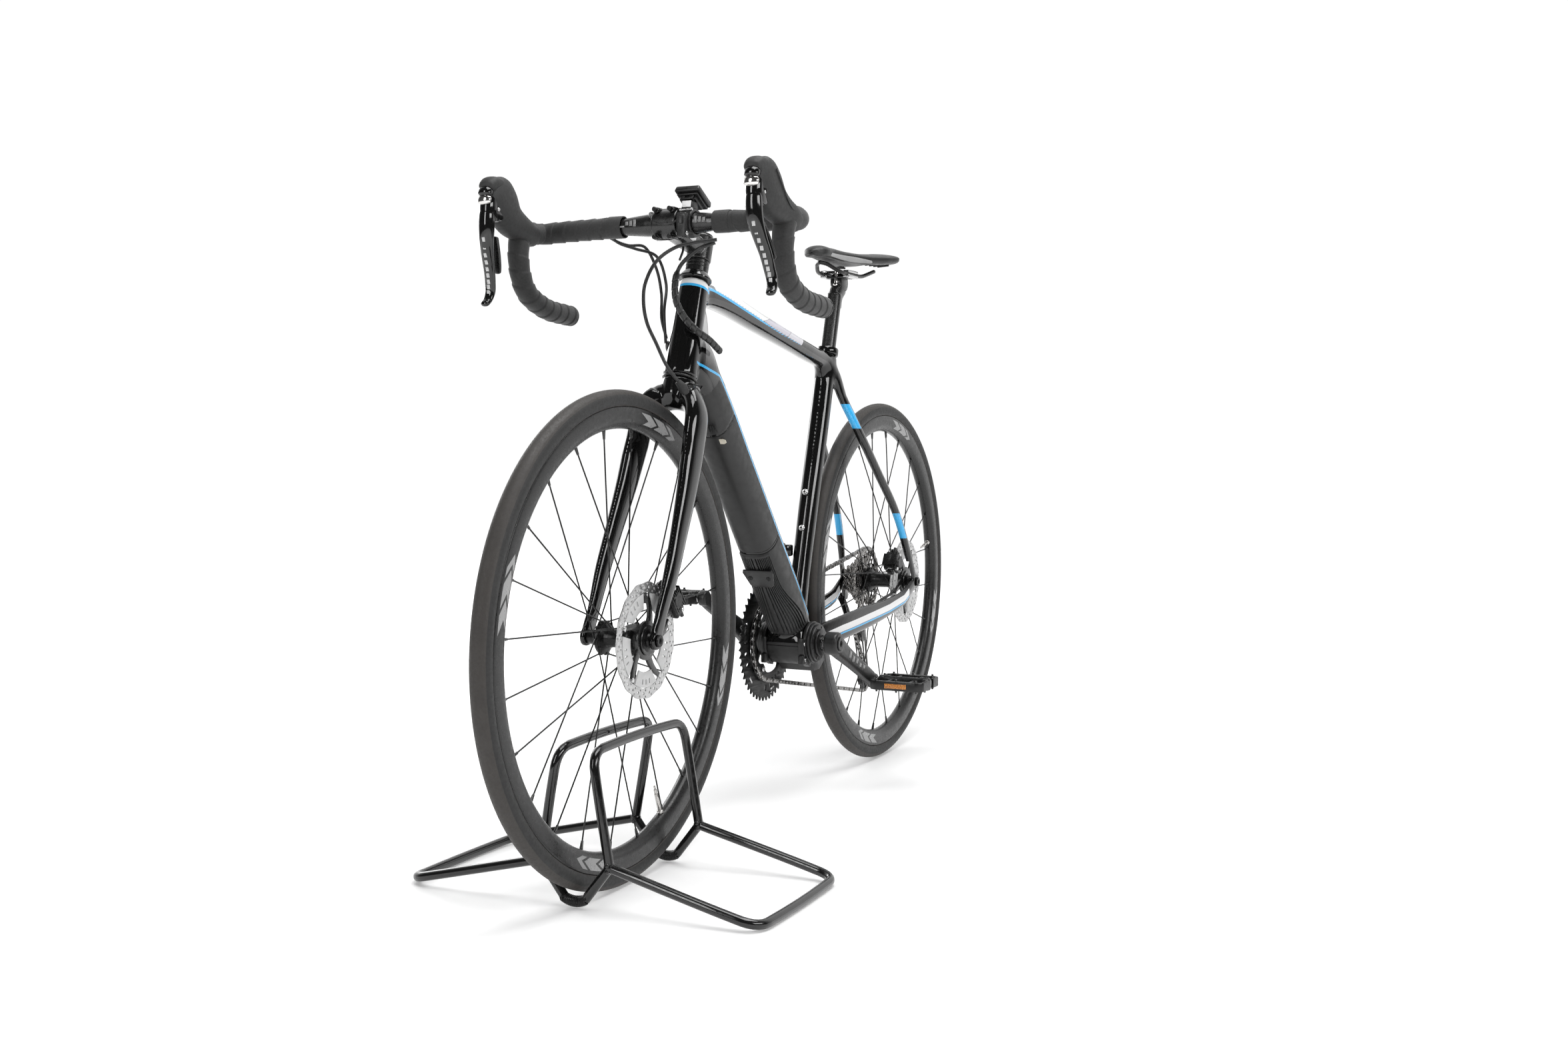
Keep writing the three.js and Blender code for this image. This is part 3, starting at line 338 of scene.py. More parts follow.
def plate(loops, y0, y1, edge=0.25):
    """Outlines in the XZ plane, the first outside and the rest holes, thickened from y0 to y1."""
    curve = bpy.data.curves.new("outline", "CURVE")
    curve.dimensions = "2D"
    curve.fill_mode = "BOTH"
    half = abs(y1 - y0) / 2
    edge = min(edge, half * 0.8)
    curve.extrude = half - edge
    curve.bevel_depth = edge
    curve.bevel_resolution = 1
    curve.offset = -edge
    for index, loop in enumerate(loops):
        loop = np.array(loop, float)
        area = np.sum(loop[:, 0] * np.roll(loop[:, 1], -1) - np.roll(loop[:, 0], -1) * loop[:, 1])
        if (area > 0) != (index == 0):
            loop = loop[::-1]
        spline = curve.splines.new("POLY")
        spline.points.add(len(loop) - 1)
        flat = np.zeros((len(loop), 4))
        flat[:, :2] = loop
        flat[:, 3] = 1
        spline.points.foreach_set("co", flat.ravel())
        spline.use_cyclic_u = True
    obj = bpy.data.objects.new("outline", curve)
    bpy.context.scene.collection.objects.link(obj)
    mesh = bpy.data.meshes.new_from_object(obj.evaluated_get(bpy.context.evaluated_depsgraph_get()))
    bm = bmesh.new()
    bm.from_mesh(mesh)
    bmesh.ops.remove_doubles(bm, verts=bm.verts[:], dist=1e-4)
    bpy.data.objects.remove(obj)
    bpy.data.curves.remove(curve)
    bpy.data.meshes.remove(mesh)
    verts, faces = from_bmesh(bm)
    middle = (y0 + y1) / 2
    return np.stack([verts[:, 0], middle - verts[:, 2], verts[:, 1]], axis=1), faces


def polar(radius, angle, x=0.0, z=0.0):
    return x + radius * math.cos(angle), z + radius * math.sin(angle)


def arc(radius, start, end, steps, x=0.0, z=0.0):
    return [polar(radius, a, x, z) for a in np.linspace(start, end, steps)]


def circle(radius, x=0.0, z=0.0, steps=48):
    return arc(radius, 0, TAU * (1 - 1 / steps), steps, x, z)


def capsule(a, b, r, steps=8):
    """A slot outline round two points, of radius r."""
    heading = math.atan2(b[1] - a[1], b[0] - a[0])
    quarter = math.pi / 2
    return arc(r, heading + quarter, heading + 3 * quarter, steps, *a) + arc(r, heading - quarter,
                                                                             heading + quarter, steps, *b)


def pitch_radius(teeth):
    """Radius at which the chain runs on a sprocket."""
    return PITCH / (2 * math.sin(math.pi / teeth))


def sprocket_outline(teeth, x, z, phase=0.0, tip=3.4, root=3.7):
    """A toothed outline; tip and root are heights above and below the chain's radius."""
    pitch = pitch_radius(teeth)
    step = TAU / teeth
    out = []
    for i in range(teeth):
        for turn, rise in ((0.0, -root), (0.2, -root * 0.75), (0.33, 0.4), (0.43, tip), (0.57, tip),
                           (0.67, 0.4), (0.8, -root * 0.75)):
            angle = phase + (i + turn) * step
            out.append(polar(pitch + rise, angle, x, z))
    return out


# ---------------------------------------------------------------- pieces
def piece(name, parts, body, replaces=(), sharp=38, subdivide=0):
    """A named object made of (shape, material) parts, riding on a body."""
    name = name.replace(" ", "_")
    if isinstance(parts, tuple):
        parts = [parts]
    shapes = [outward(p[0]) for p in parts]
    verts, faces = merged(*shapes)
    mesh = to_mesh(name, (verts * MM, faces))
    index = []
    for number, shape in enumerate(shapes):
        mesh.materials.append(parts[number][1])
        index += [number] * len(shape[1])
    mesh.polygons.foreach_set("material_index", index)
    mesh.shade_smooth()
    mesh.set_sharp_from_angle(angle=math.radians(sharp))
    obj = bpy.data.objects.new(name, mesh)
    bpy.context.scene.collection.objects.link(obj)
    if subdivide:
        modifier = obj.modifiers.new("fine", "SUBSURF")
        modifier.levels = modifier.render_levels = subdivide
        fine = bpy.data.meshes.new_from_object(obj.evaluated_get(bpy.context.evaluated_depsgraph_get()))
        obj.modifiers.clear()
        obj.data = fine
        fine.shade_smooth()
    if body:
        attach(obj, body)
    if replaces:
        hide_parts(*([replaces] if isinstance(replaces, str) else replaces))
    return obj


def points_of(obj):
    """An object's points in millimetres."""
    return np.array([v.co for v in obj.data.vertices]) / MM


def paint_fields(obj, fields):
    """Stores signed distances in millimetres, negative inside, for the paint's edges."""
    for name, values in fields.items():
        attribute = obj.data.attributes.new(name, "FLOAT", "POINT")
        attribute.data.foreach_set("value", np.asarray(values, np.float32))


# ---------------------------------------------------------------- materials
class Nodes:
    """A small builder for materials."""

    def __init__(self, name):
        self.material = bpy.data.materials.new(name)
        self.material.use_nodes = True
        self.tree = self.material.node_tree
        self.shader = self.tree.nodes["Principled BSDF"]
        self.place = self.add("ShaderNodeTexCoord").outputs["Object"]

    def add(self, kind, inputs=None, **settings):
        node = self.tree.nodes.new(kind)
        for key, value in settings.items():
            setattr(node, key, value)
        for key, value in (inputs or {}).items():
            if isinstance(value, bpy.types.NodeSocket):
                self.tree.links.new(value, node.inputs[key])
            else:
                node.inputs[key].default_value = value
        return node

    def link(self, output, key):
        self.tree.links.new(output, self.shader.inputs[key])

    def noise(self, scale, detail=3.0, rough=0.55, stretch=None):
        vector = self.place
        if stretch:
            vector = self.add("ShaderNodeMapping",
                              {"Vector": self.place, "Scale": stretch}).outputs["Vector"]
        inputs = {"Vector": vector, "Scale": scale, "Detail": detail, "Roughness": rough}
        return self.add("ShaderNodeTexNoise", inputs).outputs["Fac"]

    def cells(self, scale, feature="F1"):
        return self.add("ShaderNodeTexVoronoi", {"Vector": self.place, "Scale": scale},
                        feature=feature).outputs["Distance"]

    def math(self, operation, a, b=0.0, c=0.0):
        return self.add("ShaderNodeMath", {0: a, 1: b, 2: c}, operation=operation).outputs[0]

    def span(self, value, low, high, to_low, to_high):
        inputs = {"Value": value, "From Min": low, "From Max": high, "To Min": to_low, "To Max": to_high}
        return self.add("ShaderNodeMapRange", inputs).outputs["Result"]

    def mix(self, factor, a, b):
        node = self.add("ShaderNodeMix", data_type="RGBA")
        for socket, value in ((node.inputs[0], factor), (node.inputs[6], a), (node.inputs[7], b)):
            if isinstance(value, bpy.types.NodeSocket):
                self.tree.links.new(value, socket)
            else:
                socket.default_value = value
        return node.outputs[2]

    def field(self, name, soft=0.12):
        """1 inside a stored paint edge and 0 outside it."""
        value = self.add("ShaderNodeAttribute", attribute_name=name).outputs["Fac"]
        return self.span(value, -soft, soft, 1.0, 0.0)

    def bump(self, height, strength, distance):
        inputs = {"Height": height, "Strength": strength, "Distance": distance * MM}
        node = self.add("ShaderNodeBump", inputs)
        self.link(node.outputs["Normal"], "Normal")


def rgb(red, green, blue):
    return red, green, blue, 1.0


def grey(value, warm=0.0):
    """A grey, or a slightly warm one."""
    return rgb(value * (1 + warm), value, value * (1 - warm))


NOISE_CORE = (0.3, 0.7)  # the range that holds nearly all of a noise pattern


def base_material(name, color, rough, metal=0.0, vary=0.15, patch=25.0, spread=0.08, coat=0.0, sheen=0.0,
                  relief=None):
    """Principled finish with slow colour and gloss variation, and a fine relief."""
    n = Nodes(name)
    s = n.shader.inputs
    s["Metallic"].default_value = metal
    s["Coat Weight"].default_value = coat
    s["Coat Roughness"].default_value = 0.06
    s["Sheen Weight"].default_value = sheen
    slow = n.noise(patch, 4.0, 0.6)
    dark = rgb(*(c * (1 - vary) for c in color[:3]))
    light = rgb(*(min(1.0, c * (1 + vary)) for c in color[:3]))
    n.color = n.mix(n.span(slow, *NOISE_CORE, 0.0, 1.0), dark, light)
    n.link(n.color, "Base Color")
    fine = n.noise(patch * 9, 2.0, 0.5)
    n.link(n.span(fine, *NOISE_CORE, max(rough - spread, 0.02), min(rough + spread, 1.0)), "Roughness")
    if relief == "pebble":
        n.bump(n.cells(900.0), 0.35, 0.25)
    elif relief == "leather":
        n.bump(n.cells(420.0, "DISTANCE_TO_EDGE"), 0.3, 0.25)
    elif relief == "satin":
        n.bump(n.noise(1400.0, 2.0), 0.12, 0.08)
    elif relief == "peel":
        n.bump(n.noise(60.0, 1.0), 0.008, 0.3)
    elif relief == "brushed":
        n.bump(n.noise(60.0, 3.0, stretch=(1, 22, 1)), 0.15, 0.05)
    elif relief == "moulded":
        n.bump(n.noise(700.0, 3.0), 0.2, 0.1)
    return n


BLACK = grey(0.004)
WHITE = grey(0.78)
CYAN = rgb(0.045, 0.42, 0.80)
SILVER = grey(0.42)


def painted(name, layers, rough=0.07):
    """Gloss lacquer over black, with the layers (field, colour, edge softness) painted on in order."""
    n = base_material(name, BLACK, rough, vary=0.25, patch=18.0, spread=0.03, coat=0.5, relief="peel")
    n.shader.inputs["Specular IOR Level"].default_value = 0.32
    color = n.color
    for field, paint, soft in layers:
        color = n.mix(n.field(field, soft), color, paint)
    n.link(color, "Base Color")
    n.shader.inputs["Coat Roughness"].default_value = 0.03
    return n.material


def carbon_weave(name, rough=0.28):
    """Dark lacquered weave of diagonal threads."""
    n = base_material(name, grey(0.02), rough, vary=0.1, coat=0.35)
    warp = n.add("ShaderNodeTexWave", {"Vector": n.place, "Scale": 260.0, "Distortion": 0.3},
                 bands_direction="DIAGONAL").outputs["Fac"]
    n.link(n.mix(warp, grey(0.01), grey(0.02)), "Base Color")
    n.bump(warp, 0.04, 0.04)
    return n.material


def make_materials():
    m = {}
    simple = {
        "stand": (grey(0.006), 0.16, dict(coat=0.35, patch=14.0, spread=0.1, relief="peel")),
        "coil": (grey(0.02), 0.32, dict(metal=0.4, relief="satin")),
        "rubber": (grey(0.018), 0.62, dict(relief="moulded", vary=0.2)),
        "tape": (grey(0.016), 0.68, dict(relief="pebble", vary=0.18, sheen=0.15, patch=40.0)),
        "hood": (grey(0.02), 0.6, dict(relief="pebble", vary=0.12)),
        "leather": (grey(0.013), 0.45, dict(relief="leather", vary=0.15)),
        "leather_grey": (grey(0.3), 0.42, dict(relief="leather", vary=0.1)),
        "shell": (grey(0.014), 0.5, dict(relief="moulded")),
        "cover": (grey(0.010), 0.44, dict(relief="moulded", vary=0.12, patch=12.0)),
        "cover_dark": (grey(0.009), 0.36, dict(relief="moulded")),
        # groove: flat matte near-black set into holes, sockets, slots and gaps as painted shade for those
        # recesses; on the brake pads it is their own dark compound
        "groove": (grey(0.004), 0.7, dict(relief="moulded")),
        "gloss": (grey(0.004), 0.06, dict(coat=0.35, relief="peel")),
        "black": (grey(0.009), 0.28, dict(relief="satin", coat=0.2)),
        "anodised": (grey(0.014), 0.3, dict(metal=0.6, relief="satin")),
        "arm": (grey(0.012), 0.38, dict(relief="satin", vary=0.12)),
        "arm_print": (grey(0.07), 0.2, dict(coat=0.5, relief="peel")),
        "steel": (grey(0.56), 0.24, dict(metal=1.0, relief="brushed", vary=0.2)),
        "chrome": (grey(0.72, 0.02), 0.12, dict(metal=1.0, vary=0.08)),
        "track": (grey(0.5), 0.3, dict(metal=0.85, relief="brushed", vary=0.12)),
        "fin": (grey(0.52), 0.4, dict(metal=0.15, relief="satin", vary=0.05)),
        "cog": (grey(0.3, 0.04), 0.26, dict(metal=1.0, relief="brushed", vary=0.3)),
        "chain": (grey(0.24, 0.03), 0.3, dict(metal=1.0, vary=0.35, patch=120.0)),
        "ring": (grey(0.012), 0.36, dict(metal=0.5, relief="satin", vary=0.2)),
        "spoke": (grey(0.012), 0.32, dict(metal=0.6)),
        "jacket": (grey(0.016), 0.36, dict(relief="satin", vary=0.15)),
        "label": (grey(0.8), 0.35, dict(vary=0.04)),
        "print": (grey(0.55), 0.3, dict(vary=0.08)),
        "faint_print": (grey(0.2), 0.3, dict(vary=0.08)),
        "ivory": (rgb(0.62, 0.58, 0.48), 0.4, dict(relief="moulded")),
        "screen": (grey(0.01), 0.05, dict(coat=1.0)),
        "silver_paint": (grey(0.5), 0.28, dict(coat=0.5, relief="peel", vary=0.06)),
        "brass": (grey(0.6, 0.03), 0.25, dict(metal=1.0)),
    }
    for name, (color, rough, more) in simple.items():
        m[name] = base_material(name, color, rough, **more).material
    m["weave"] = carbon_weave("weave")
    m["tyre"] = tyre_material()
    m["amber"] = amber_material()
    m["floor"] = floor_material()
    return m


def tyre_material():
    """Slick rubber: a taupe band with fine knurling each side of the crown, and black sidewalls."""
    n = base_material("tyre", grey(0.016), 0.6, vary=0.2, patch=30.0)
    across = n.math("ABSOLUTE", n.add("ShaderNodeSeparateXYZ", {"Vector": n.place}).outputs["Y"])
    taupe = n.mix(n.noise(40.0, 4.0), rgb(0.028, 0.025, 0.023), rgb(0.046, 0.041, 0.037))
    edge = n.span(across, 11.6 * MM, 12.0 * MM, 1.0, 0.0)
    n.link(n.mix(edge, n.color, taupe), "Base Color")
    knurl = n.cells(1100.0)
    n.bump(n.math("MULTIPLY", knurl, edge), 0.5, 0.3)
    return n.material


def amber_material():
    """Reflector plastic with small prisms in it, its colour painted darker along the prisms' edges as
    painted shade and brighter in their middles as painted glints.
    """
    n = base_material("amber", rgb(0.62, 0.2, 0.02), 0.18, vary=0.2, patch=90.0, coat=0.6)
    prisms = n.cells(420.0, "DISTANCE_TO_EDGE")
    # colour from the prism cells: painted shade at their edges, painted glints in their middles
    n.link(n.mix(n.span(prisms, 0.0, 0.25, 0.0, 1.0), rgb(0.3, 0.08, 0.01), rgb(0.75, 0.3, 0.05)),
           "Base Color")
    n.bump(prisms, 0.6, 0.4)
    return n.material


def floor_material():
    """Pale floor that grows brighter away from the bicycle."""
    n = base_material("floor", grey(0.82), 0.6, vary=0.01, patch=2.0)
    n.shader.inputs["Emission Color"].default_value = grey(1.0)
    split = n.add("ShaderNodeSeparateXYZ", {"Vector": n.place}).outputs
    squares = [n.math("MULTIPLY", split[k], split[k]) for k in ("X", "Y")]
    radius = n.math("SQRT", n.math("ADD", *squares))
    n.link(n.span(radius, 1.0, 3.2, 0.2, 0.8), "Emission Strength")
    return n.material


def rim_material(name, centre_x):
    """Satin grey rim with four groups of generic slanted strokes printed on each side."""
    n = base_material(name, grey(0.017), 0.32, metal=0.2, relief="satin", vary=0.12)
    split = n.add("ShaderNodeSeparateXYZ", {"Vector": n.place}).outputs
    dx = n.math("SUBTRACT", split["X"], centre_x * MM)
    dz = n.math("SUBTRACT", split["Z"], WHEEL_R * MM)
    radius = n.math("SQRT", n.math("ADD", n.math("MULTIPLY", dx, dx), n.math("MULTIPLY", dz, dz)))
    turn = n.math("DIVIDE", n.math("ARCTAN2", dz, dx), TAU)
    bend = n.math("MULTIPLY", n.math("ABSOLUTE", n.math("SUBTRACT", radius, 0.301)), 1.1)
    around = n.math("FRACT", n.math("ADD", n.math("MULTIPLY", n.math("ADD", turn, bend), 4.0), PRINT_PHASE))
    ramp = n.add("ShaderNodeValToRGB", {"Fac": around})
    ramp.color_ramp.interpolation = "CONSTANT"
    stops = ramp.color_ramp.elements
    stops[0].position, stops[0].color = 0.0, grey(0.0)
    stops[1].position, stops[1].color = 0.42, grey(1.0)
    for position, value in ((0.47, 0), (0.485, 1), (0.55, 0), (0.565, 1), (0.59, 0)):
        stop = stops.new(position)
        stop.color = grey(float(value))
    band = n.math("MULTIPLY", n.math("GREATER_THAN", radius, 0.2945), n.math("LESS_THAN", radius, 0.3105))
    n.link(n.mix(n.math("MULTIPLY", ramp.outputs["Color"], band), n.color, grey(0.3)), "Base Color")
    return n.material


# ---------------------------------------------------------------- driving sizes
WHEEL_R = 339  # over the tyre
TYRE_R = 14
HALF_BASE = 491.5  # half the wheelbase
BB = (-80.0, 269.0)  # bottom bracket axis, X and Z
PITCH = 12.7  # of the chain
PRINT_PHASE = 0.3  # turns the rims' printed strokes
SEAT_LEAN = 0.3049  # seat tube's rearward lean per millimetre of height
PEDAL_Y = 148
COG_PITCH = 3.7  # from one sprocket to the next
LARGEST_COG_Y = -28
LARGE_RING = 50
SMALL_RING = 34
JOCKEY_TEETH = 11
GUIDE_AT = (-465.6, 243.2)
TENSION_AT = (-486.7, 146)

# the steering axis, from the head tube's lower end
HEAD_LOW = np.array((319.8, 0, 699.0))
HEAD_UP = np.array((-0.30883, 0, 0.95112))
HEAD_AHEAD = np.array((0.95112, 0, 0.30883))
HEAD_LENGTH = 151


def on_steerer(distance, ahead=0.0, y=0.0):
    """A point at a distance up the steering axis, ahead of it and to its left."""
    return HEAD_LOW + HEAD_UP * distance + HEAD_AHEAD * ahead + np.array((0, y, 0))


MAT = make_materials()


def ball(centre, r, segments=20):
    outline = [(max(r * math.cos(a), 0.02), r * math.sin(a))
               for a in np.linspace(-math.pi / 2, math.pi / 2, 11)]
    return spun(outline, centre, (0, 1, 0), segments)


def helix(a, b, coil_r, turns, wire_r, sides=8, steps=14):
    """A wound wire round the line from a to b."""
    a, b = np.array(a, float), np.array(b, float)
    along = unit(b - a)
    u = unit(np.cross(along, (0.1, 0.2, 1)))
    v = np.cross(along, u)
    count = int(turns * steps)
    points = []
    for k in range(count + 1):
        angle = TAU * turns * k / count
        points.append(a + (b - a) * k / count + coil_r * (math.cos(angle) * u + math.sin(angle) * v))
    return tube(points, wire_r, sides)


# ---------------------------------------------------------------- stand
STAND_X = (611, 361)
ROD_R = 6.5
KNEE = (52, 58)
HOOP_TOP = (26, 207)
BASE_EDGE = (265, ROD_R)
SPRING_Y, SPRING_Z, SPRING_SAG = 19, 13, 5


def stand_half():
    """One bent-rod half: a hoop beside the tyre and a base on the floor, welded together at two knees."""
    ahead, behind = STAND_X
    rods = []
    for corner in (HOOP_TOP, BASE_EDGE):
        bends = rounded([(ahead, *KNEE), (ahead, *corner), (behind, *corner), (behind, *KNEE)], 30, 12)
        rods.append(tube(bends, ROD_R, 24, 7))
    for x in STAND_X:
        rods.append(pin((x, *KNEE), (x, 15, 11), ROD_R, 24, 2.0))
        rods.append(ball((x, *KNEE), ROD_R * 1.22))
        rods += [ball((x + dx, KNEE[0], KNEE[1] + 4 * s), 3.4)
                 for dx, s in ((6, 1), (-6, 1), (6, -1), (-6, -1))]
    return merged(*rods)


half = stand_half()
piece("stand frame left", (half, MAT["stand"]), "stand_base", "stand_left")
piece("stand frame right", (mirrored(half), MAT["stand"]), "stand_swing", "stand_right")
for end, x in zip(("front", "rear"), STAND_X):
    coil = helix((x, -SPRING_Y, SPRING_Z), (x, SPRING_Y, SPRING_Z), 6.4, 15, 1.25)
    sag = SPRING_SAG * (1 - (coil[0][:, 1] / SPRING_Y) ** 2)
    coil = coil[0] - np.outer(sag, (0, 0, 1)), coil[1]
    spring = piece(f"stand spring {end}", (coil, MAT["coil"]), None, f"stand_spring_{end}")
    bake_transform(spring)


# ---------------------------------------------------------------- wheels
HUBS = {
    "front": [(6.4, -49.6), (9, -49.6), (10, -48), (10.5, -33), (14, -31), (22, -29.5), (23, -28.5),
              (23, -24), (21, -22.5), (14, -19), (12.5, -10), (12.5, 8), (14, 13), (20, 17), (21.5, 18.5),
              (21.5, 23.5), (20.5, 25), (17, 28), (16.8, 36), (16.8, 44), (11, 46), (10, 49), (9, 49.6),
              (6.4, 49.6)],
    "rear": [(6.4, -70.6), (9, -70.6), (10, -69), (16.8, -68), (16.8, -25), (18, -24), (22, -23.2),
             (23, -22), (23, -17), (21, -15.5), (15, -12), (13.5, -4), (13.5, 17), (15, 24), (20, 28),
             (21.5, 29.5), (21.5, 35), (20.5, 37), (17, 40), (16.8, 57), (11, 60), (10, 69), (9, 70.6),
             (6.4, 70.6)],
}
FLANGES = {"front": ((21.5, 19), (-26, 21)), "rear": ((32.5, 19), (-19, 21))}
VALVES = {"front": (-0.386, -0.922), "rear": (-0.980, 0.197)}
ROTOR_Y = {"front": 39, "rear": 52}
SPOKES_PER_SIDE = 12
SPOKE_END_R = 287


def tyre_shape(x):
    """An open tyre section with a fine groove each side of the crown."""
    centre, seat = WHEEL_R - TYRE_R, 316.4
    open_angle = math.acos((seat - centre) / TYRE_R)
    outline = []
    for a in np.linspace(-open_angle, open_angle, 41):
        r = TYRE_R - (0.35 if 0.98 < abs(a) < 1.1 else 0.0)
        outline.append((centre + r * math.cos(a), r * math.sin(a)))
    return spun(outline, (x, 0, WHEEL_R), segments=160)


def rim_shape(x):
    """A deep aerodynamic rim with rounded shoulders."""
    side = [(315.9, 10.4), (315.6, 11.1), (314.6, 11.5), (312, 11.8), (306, 12), (300, 11.9), (295, 11.2),
            (290.8, 9.2), (288, 6.4), (286.5, 3.2), (286.1, 1.2)]
    outline = [(r, h) for r, h in side] + [(r, -h) for r, h in side[::-1]]
    return spun(outline, (x, 0, WHEEL_R), segments=160)


def spokes_and_nipples(end, x):
    """Crossed spokes from both hub flanges, with their nipples and elbows."""
    wires, nipples, heads = [], [], []
    for k, (flange_y, flange_r) in enumerate(FLANGES[end]):
        for i in range(SPOKES_PER_SIDE):
            rim_angle = k * math.pi / SPOKES_PER_SIDE + 0.11 + TAU * i / SPOKES_PER_SIDE
            lean = 1 if i % 2 == 0 else -1
            hub_angle = rim_angle + lean * 1.15
            inner = np.array((x + flange_r * math.cos(hub_angle), flange_y + lean * 1.3,
                              WHEEL_R + flange_r * math.sin(hub_angle)))
            outer = np.array((x + SPOKE_END_R * math.cos(rim_angle), lean * 0.4,
                              WHEEL_R + SPOKE_END_R * math.sin(rim_angle)))
            toward = unit(outer - inner)
            wires.append(pin(inner, outer, 1.05, 8, 0.2))
            nipples.append(pin(outer - toward * 13, outer - toward * 0.5, 1.7, 10, 0.6, 2.5))
            heads.append(pin(inner - toward * 3, inner + toward * 9, 2.3, 10, 0.8, 1.7))
            heads.append(ball(inner, 3.4, 12))
    return merged(*wires), merged(*nipples), merged(*heads)


def valve(x, direction):
    """A long valve with its lock ring and cap."""
    dx, dz = direction

    def at(r):
        return x + dx * r, 0, WHEEL_R + dz * r

    return merged(pin(at(289), at(254), 2.9, 16), pin(at(287), at(282), 5.0, 6, 0.6),
                  pin(at(255), at(246), 2.4, 16, 0.8),
                  pin(at(247), at(240), 1.5, 12, 0.6))


def rotor_parts(x, y, phase):
    """A perforated steel track, light cooling panels inside it, and curved black arms to the hub."""
    holes = []
    for i in range(30):
        a = phase + TAU * i / 30
        for r, shift, size in ((76.4, 0.0, 1.6), (72.0, 0.07, 2.0), (67.8, 0.0, 1.5)):
            holes.append(circle(size, *polar(r, a + shift), 10))

    def wavy(r, depth):
        return [polar(r + depth * math.cos(15 * a), a) for a in np.linspace(0, TAU * 239 / 240, 240)]

    track = plate([wavy(79.2, 0.8), wavy(64.6, -0.8)] + holes, y - 0.9, y + 0.9)
    panels, arms, rivets = [], [], []
    for i in range(5):
        a = phase + TAU * i / 5
        outer = arc(64.2, a + 0.16, a + 1.10, 16)
        inner = arc(43, a + 1.06, a + 0.30, 12)
        ports = [capsule(polar(54, a + t), polar(59, a + t), 1.3)
                 for t in (0.45, 0.62, 0.79)]
        panels.append(plate([outer + inner] + ports, y - 1.3, y + 1.3))
        left, right = [], []
        for r in np.linspace(21, 65, 12):
            width = 6.5 - 3.2 * (r - 21) / 44
            swept = a + 0.62 * (1 - (r / 64)) - 0.02
            left.append(polar(r, swept + width / r))
            right.append(polar(r, swept - width / r))
        arms.append(plate([left + right[::-1]], y - 1.5, y + 2.4, 0.5))
        cx, cz = polar(62.5, a)
        rivets.append(disc(3.4, y - 1.9, y + 2.9, cx, cz, 0.5, segments=16))
    splines = []
    for i in range(32):
        a, r = TAU * i / 32, 16.2 if i % 2 else 17.6
        splines.append(polar(r, a))
    centre = plate([circle(27, steps=60), splines], y - 1.6, y + 2.6, 0.5)
    lock = spun([(10.4, y + 2.7), (19.8, y + 2.7), (20.6, y + 3.6), (20.6, y + 4.4), (19.8, y + 5.2),
                 (10.4, y + 5.2)])

    def place(shape):
        return moved(shape, (x, 0, WHEEL_R))

    return [(place(track), MAT["track"]), (place(merged(*panels)), MAT["fin"]),
            (place(merged(*arms, centre, lock)), MAT["black"]), (place(merged(*rivets)), MAT["steel"])]


for end, x in (("front", HALF_BASE), ("rear", -HALF_BASE)):
    body = f"{end}_wheel"
    piece(f"{end} tyre", (tyre_shape(x), MAT["tyre"]), body, f"{end}_tyre", sharp=60)
    shape = rim_shape(x)
    piece(f"{end} rim", [(shape, rim_material(f"{end} rim", x)), (valve(x, VALVES[end]), MAT["brass"])],
          body,
          f"{end}_rim", sharp=50)
    wires, nipples, heads = spokes_and_nipples(end, x)
    hub = spun(HUBS[end], (x, 0, WHEEL_R), segments=64)
    piece(f"{end} hub and spokes", [(hub, MAT["anodised"]), (heads, MAT["anodised"]), (wires, MAT["spoke"]),
                                    (nipples, MAT["black"])], body, f"{end}_hub_spokes")
    piece(f"{end} disc rotor", rotor_parts(x, ROTOR_Y[end], 0.35 if end == "front" else 0.9), body,
          f"{end}_rotor",
          sharp=30)


def axle_parts(x, half_width):
    """Through axle: a black button with a socket on the left, and the threaded end on the right."""
    shaft = pin((x, -half_width - 0.5, WHEEL_R), (x, half_width, WHEEL_R), 5.9, 24, 0.6)
    head = spun([(3.1, half_width + 0.6), (7.4, half_width + 0.6), (8.6, half_width + 1.4),
                 (8.6, half_width + 2.6), (7.6, half_width + 3.5), (4.4, half_width + 3.5),
                 (3.1, half_width + 2.0)],
                (x, 0, WHEEL_R), segments=40)
    # the socket's floor is painted shade: a near-black disc at the bottom of the button's socket
    floor = disc(3.4, half_width + 0.6, half_width + 1.0, x, WHEEL_R, segments=20)
    return [(merged(shaft, head), MAT["anodised"]), (floor, MAT["groove"])]


piece("front through axle", axle_parts(HALF_BASE, 58.6), "front_end", "front_axle")
piece("rear through axle", axle_parts(-HALF_BASE, 76.8), "main_frame", "rear_axle")


# ---------------------------------------------------------------- fork
BLADE_ROWS = [(331, 24, 668, 18, 25), (346, 40.5, 652, 14.5, 26), (364, 46, 606, 12.4, 25.5),
              (388, 49, 548, 11, 22), (418, 52, 486, 9, 18), (449, 54.5, 424, 8, 15),
              (475, 53.6, 371, 5.6, 13), (490, 54.2, 341, 4.2, 13), (495, 54.2, 331, 4.2, 8)]


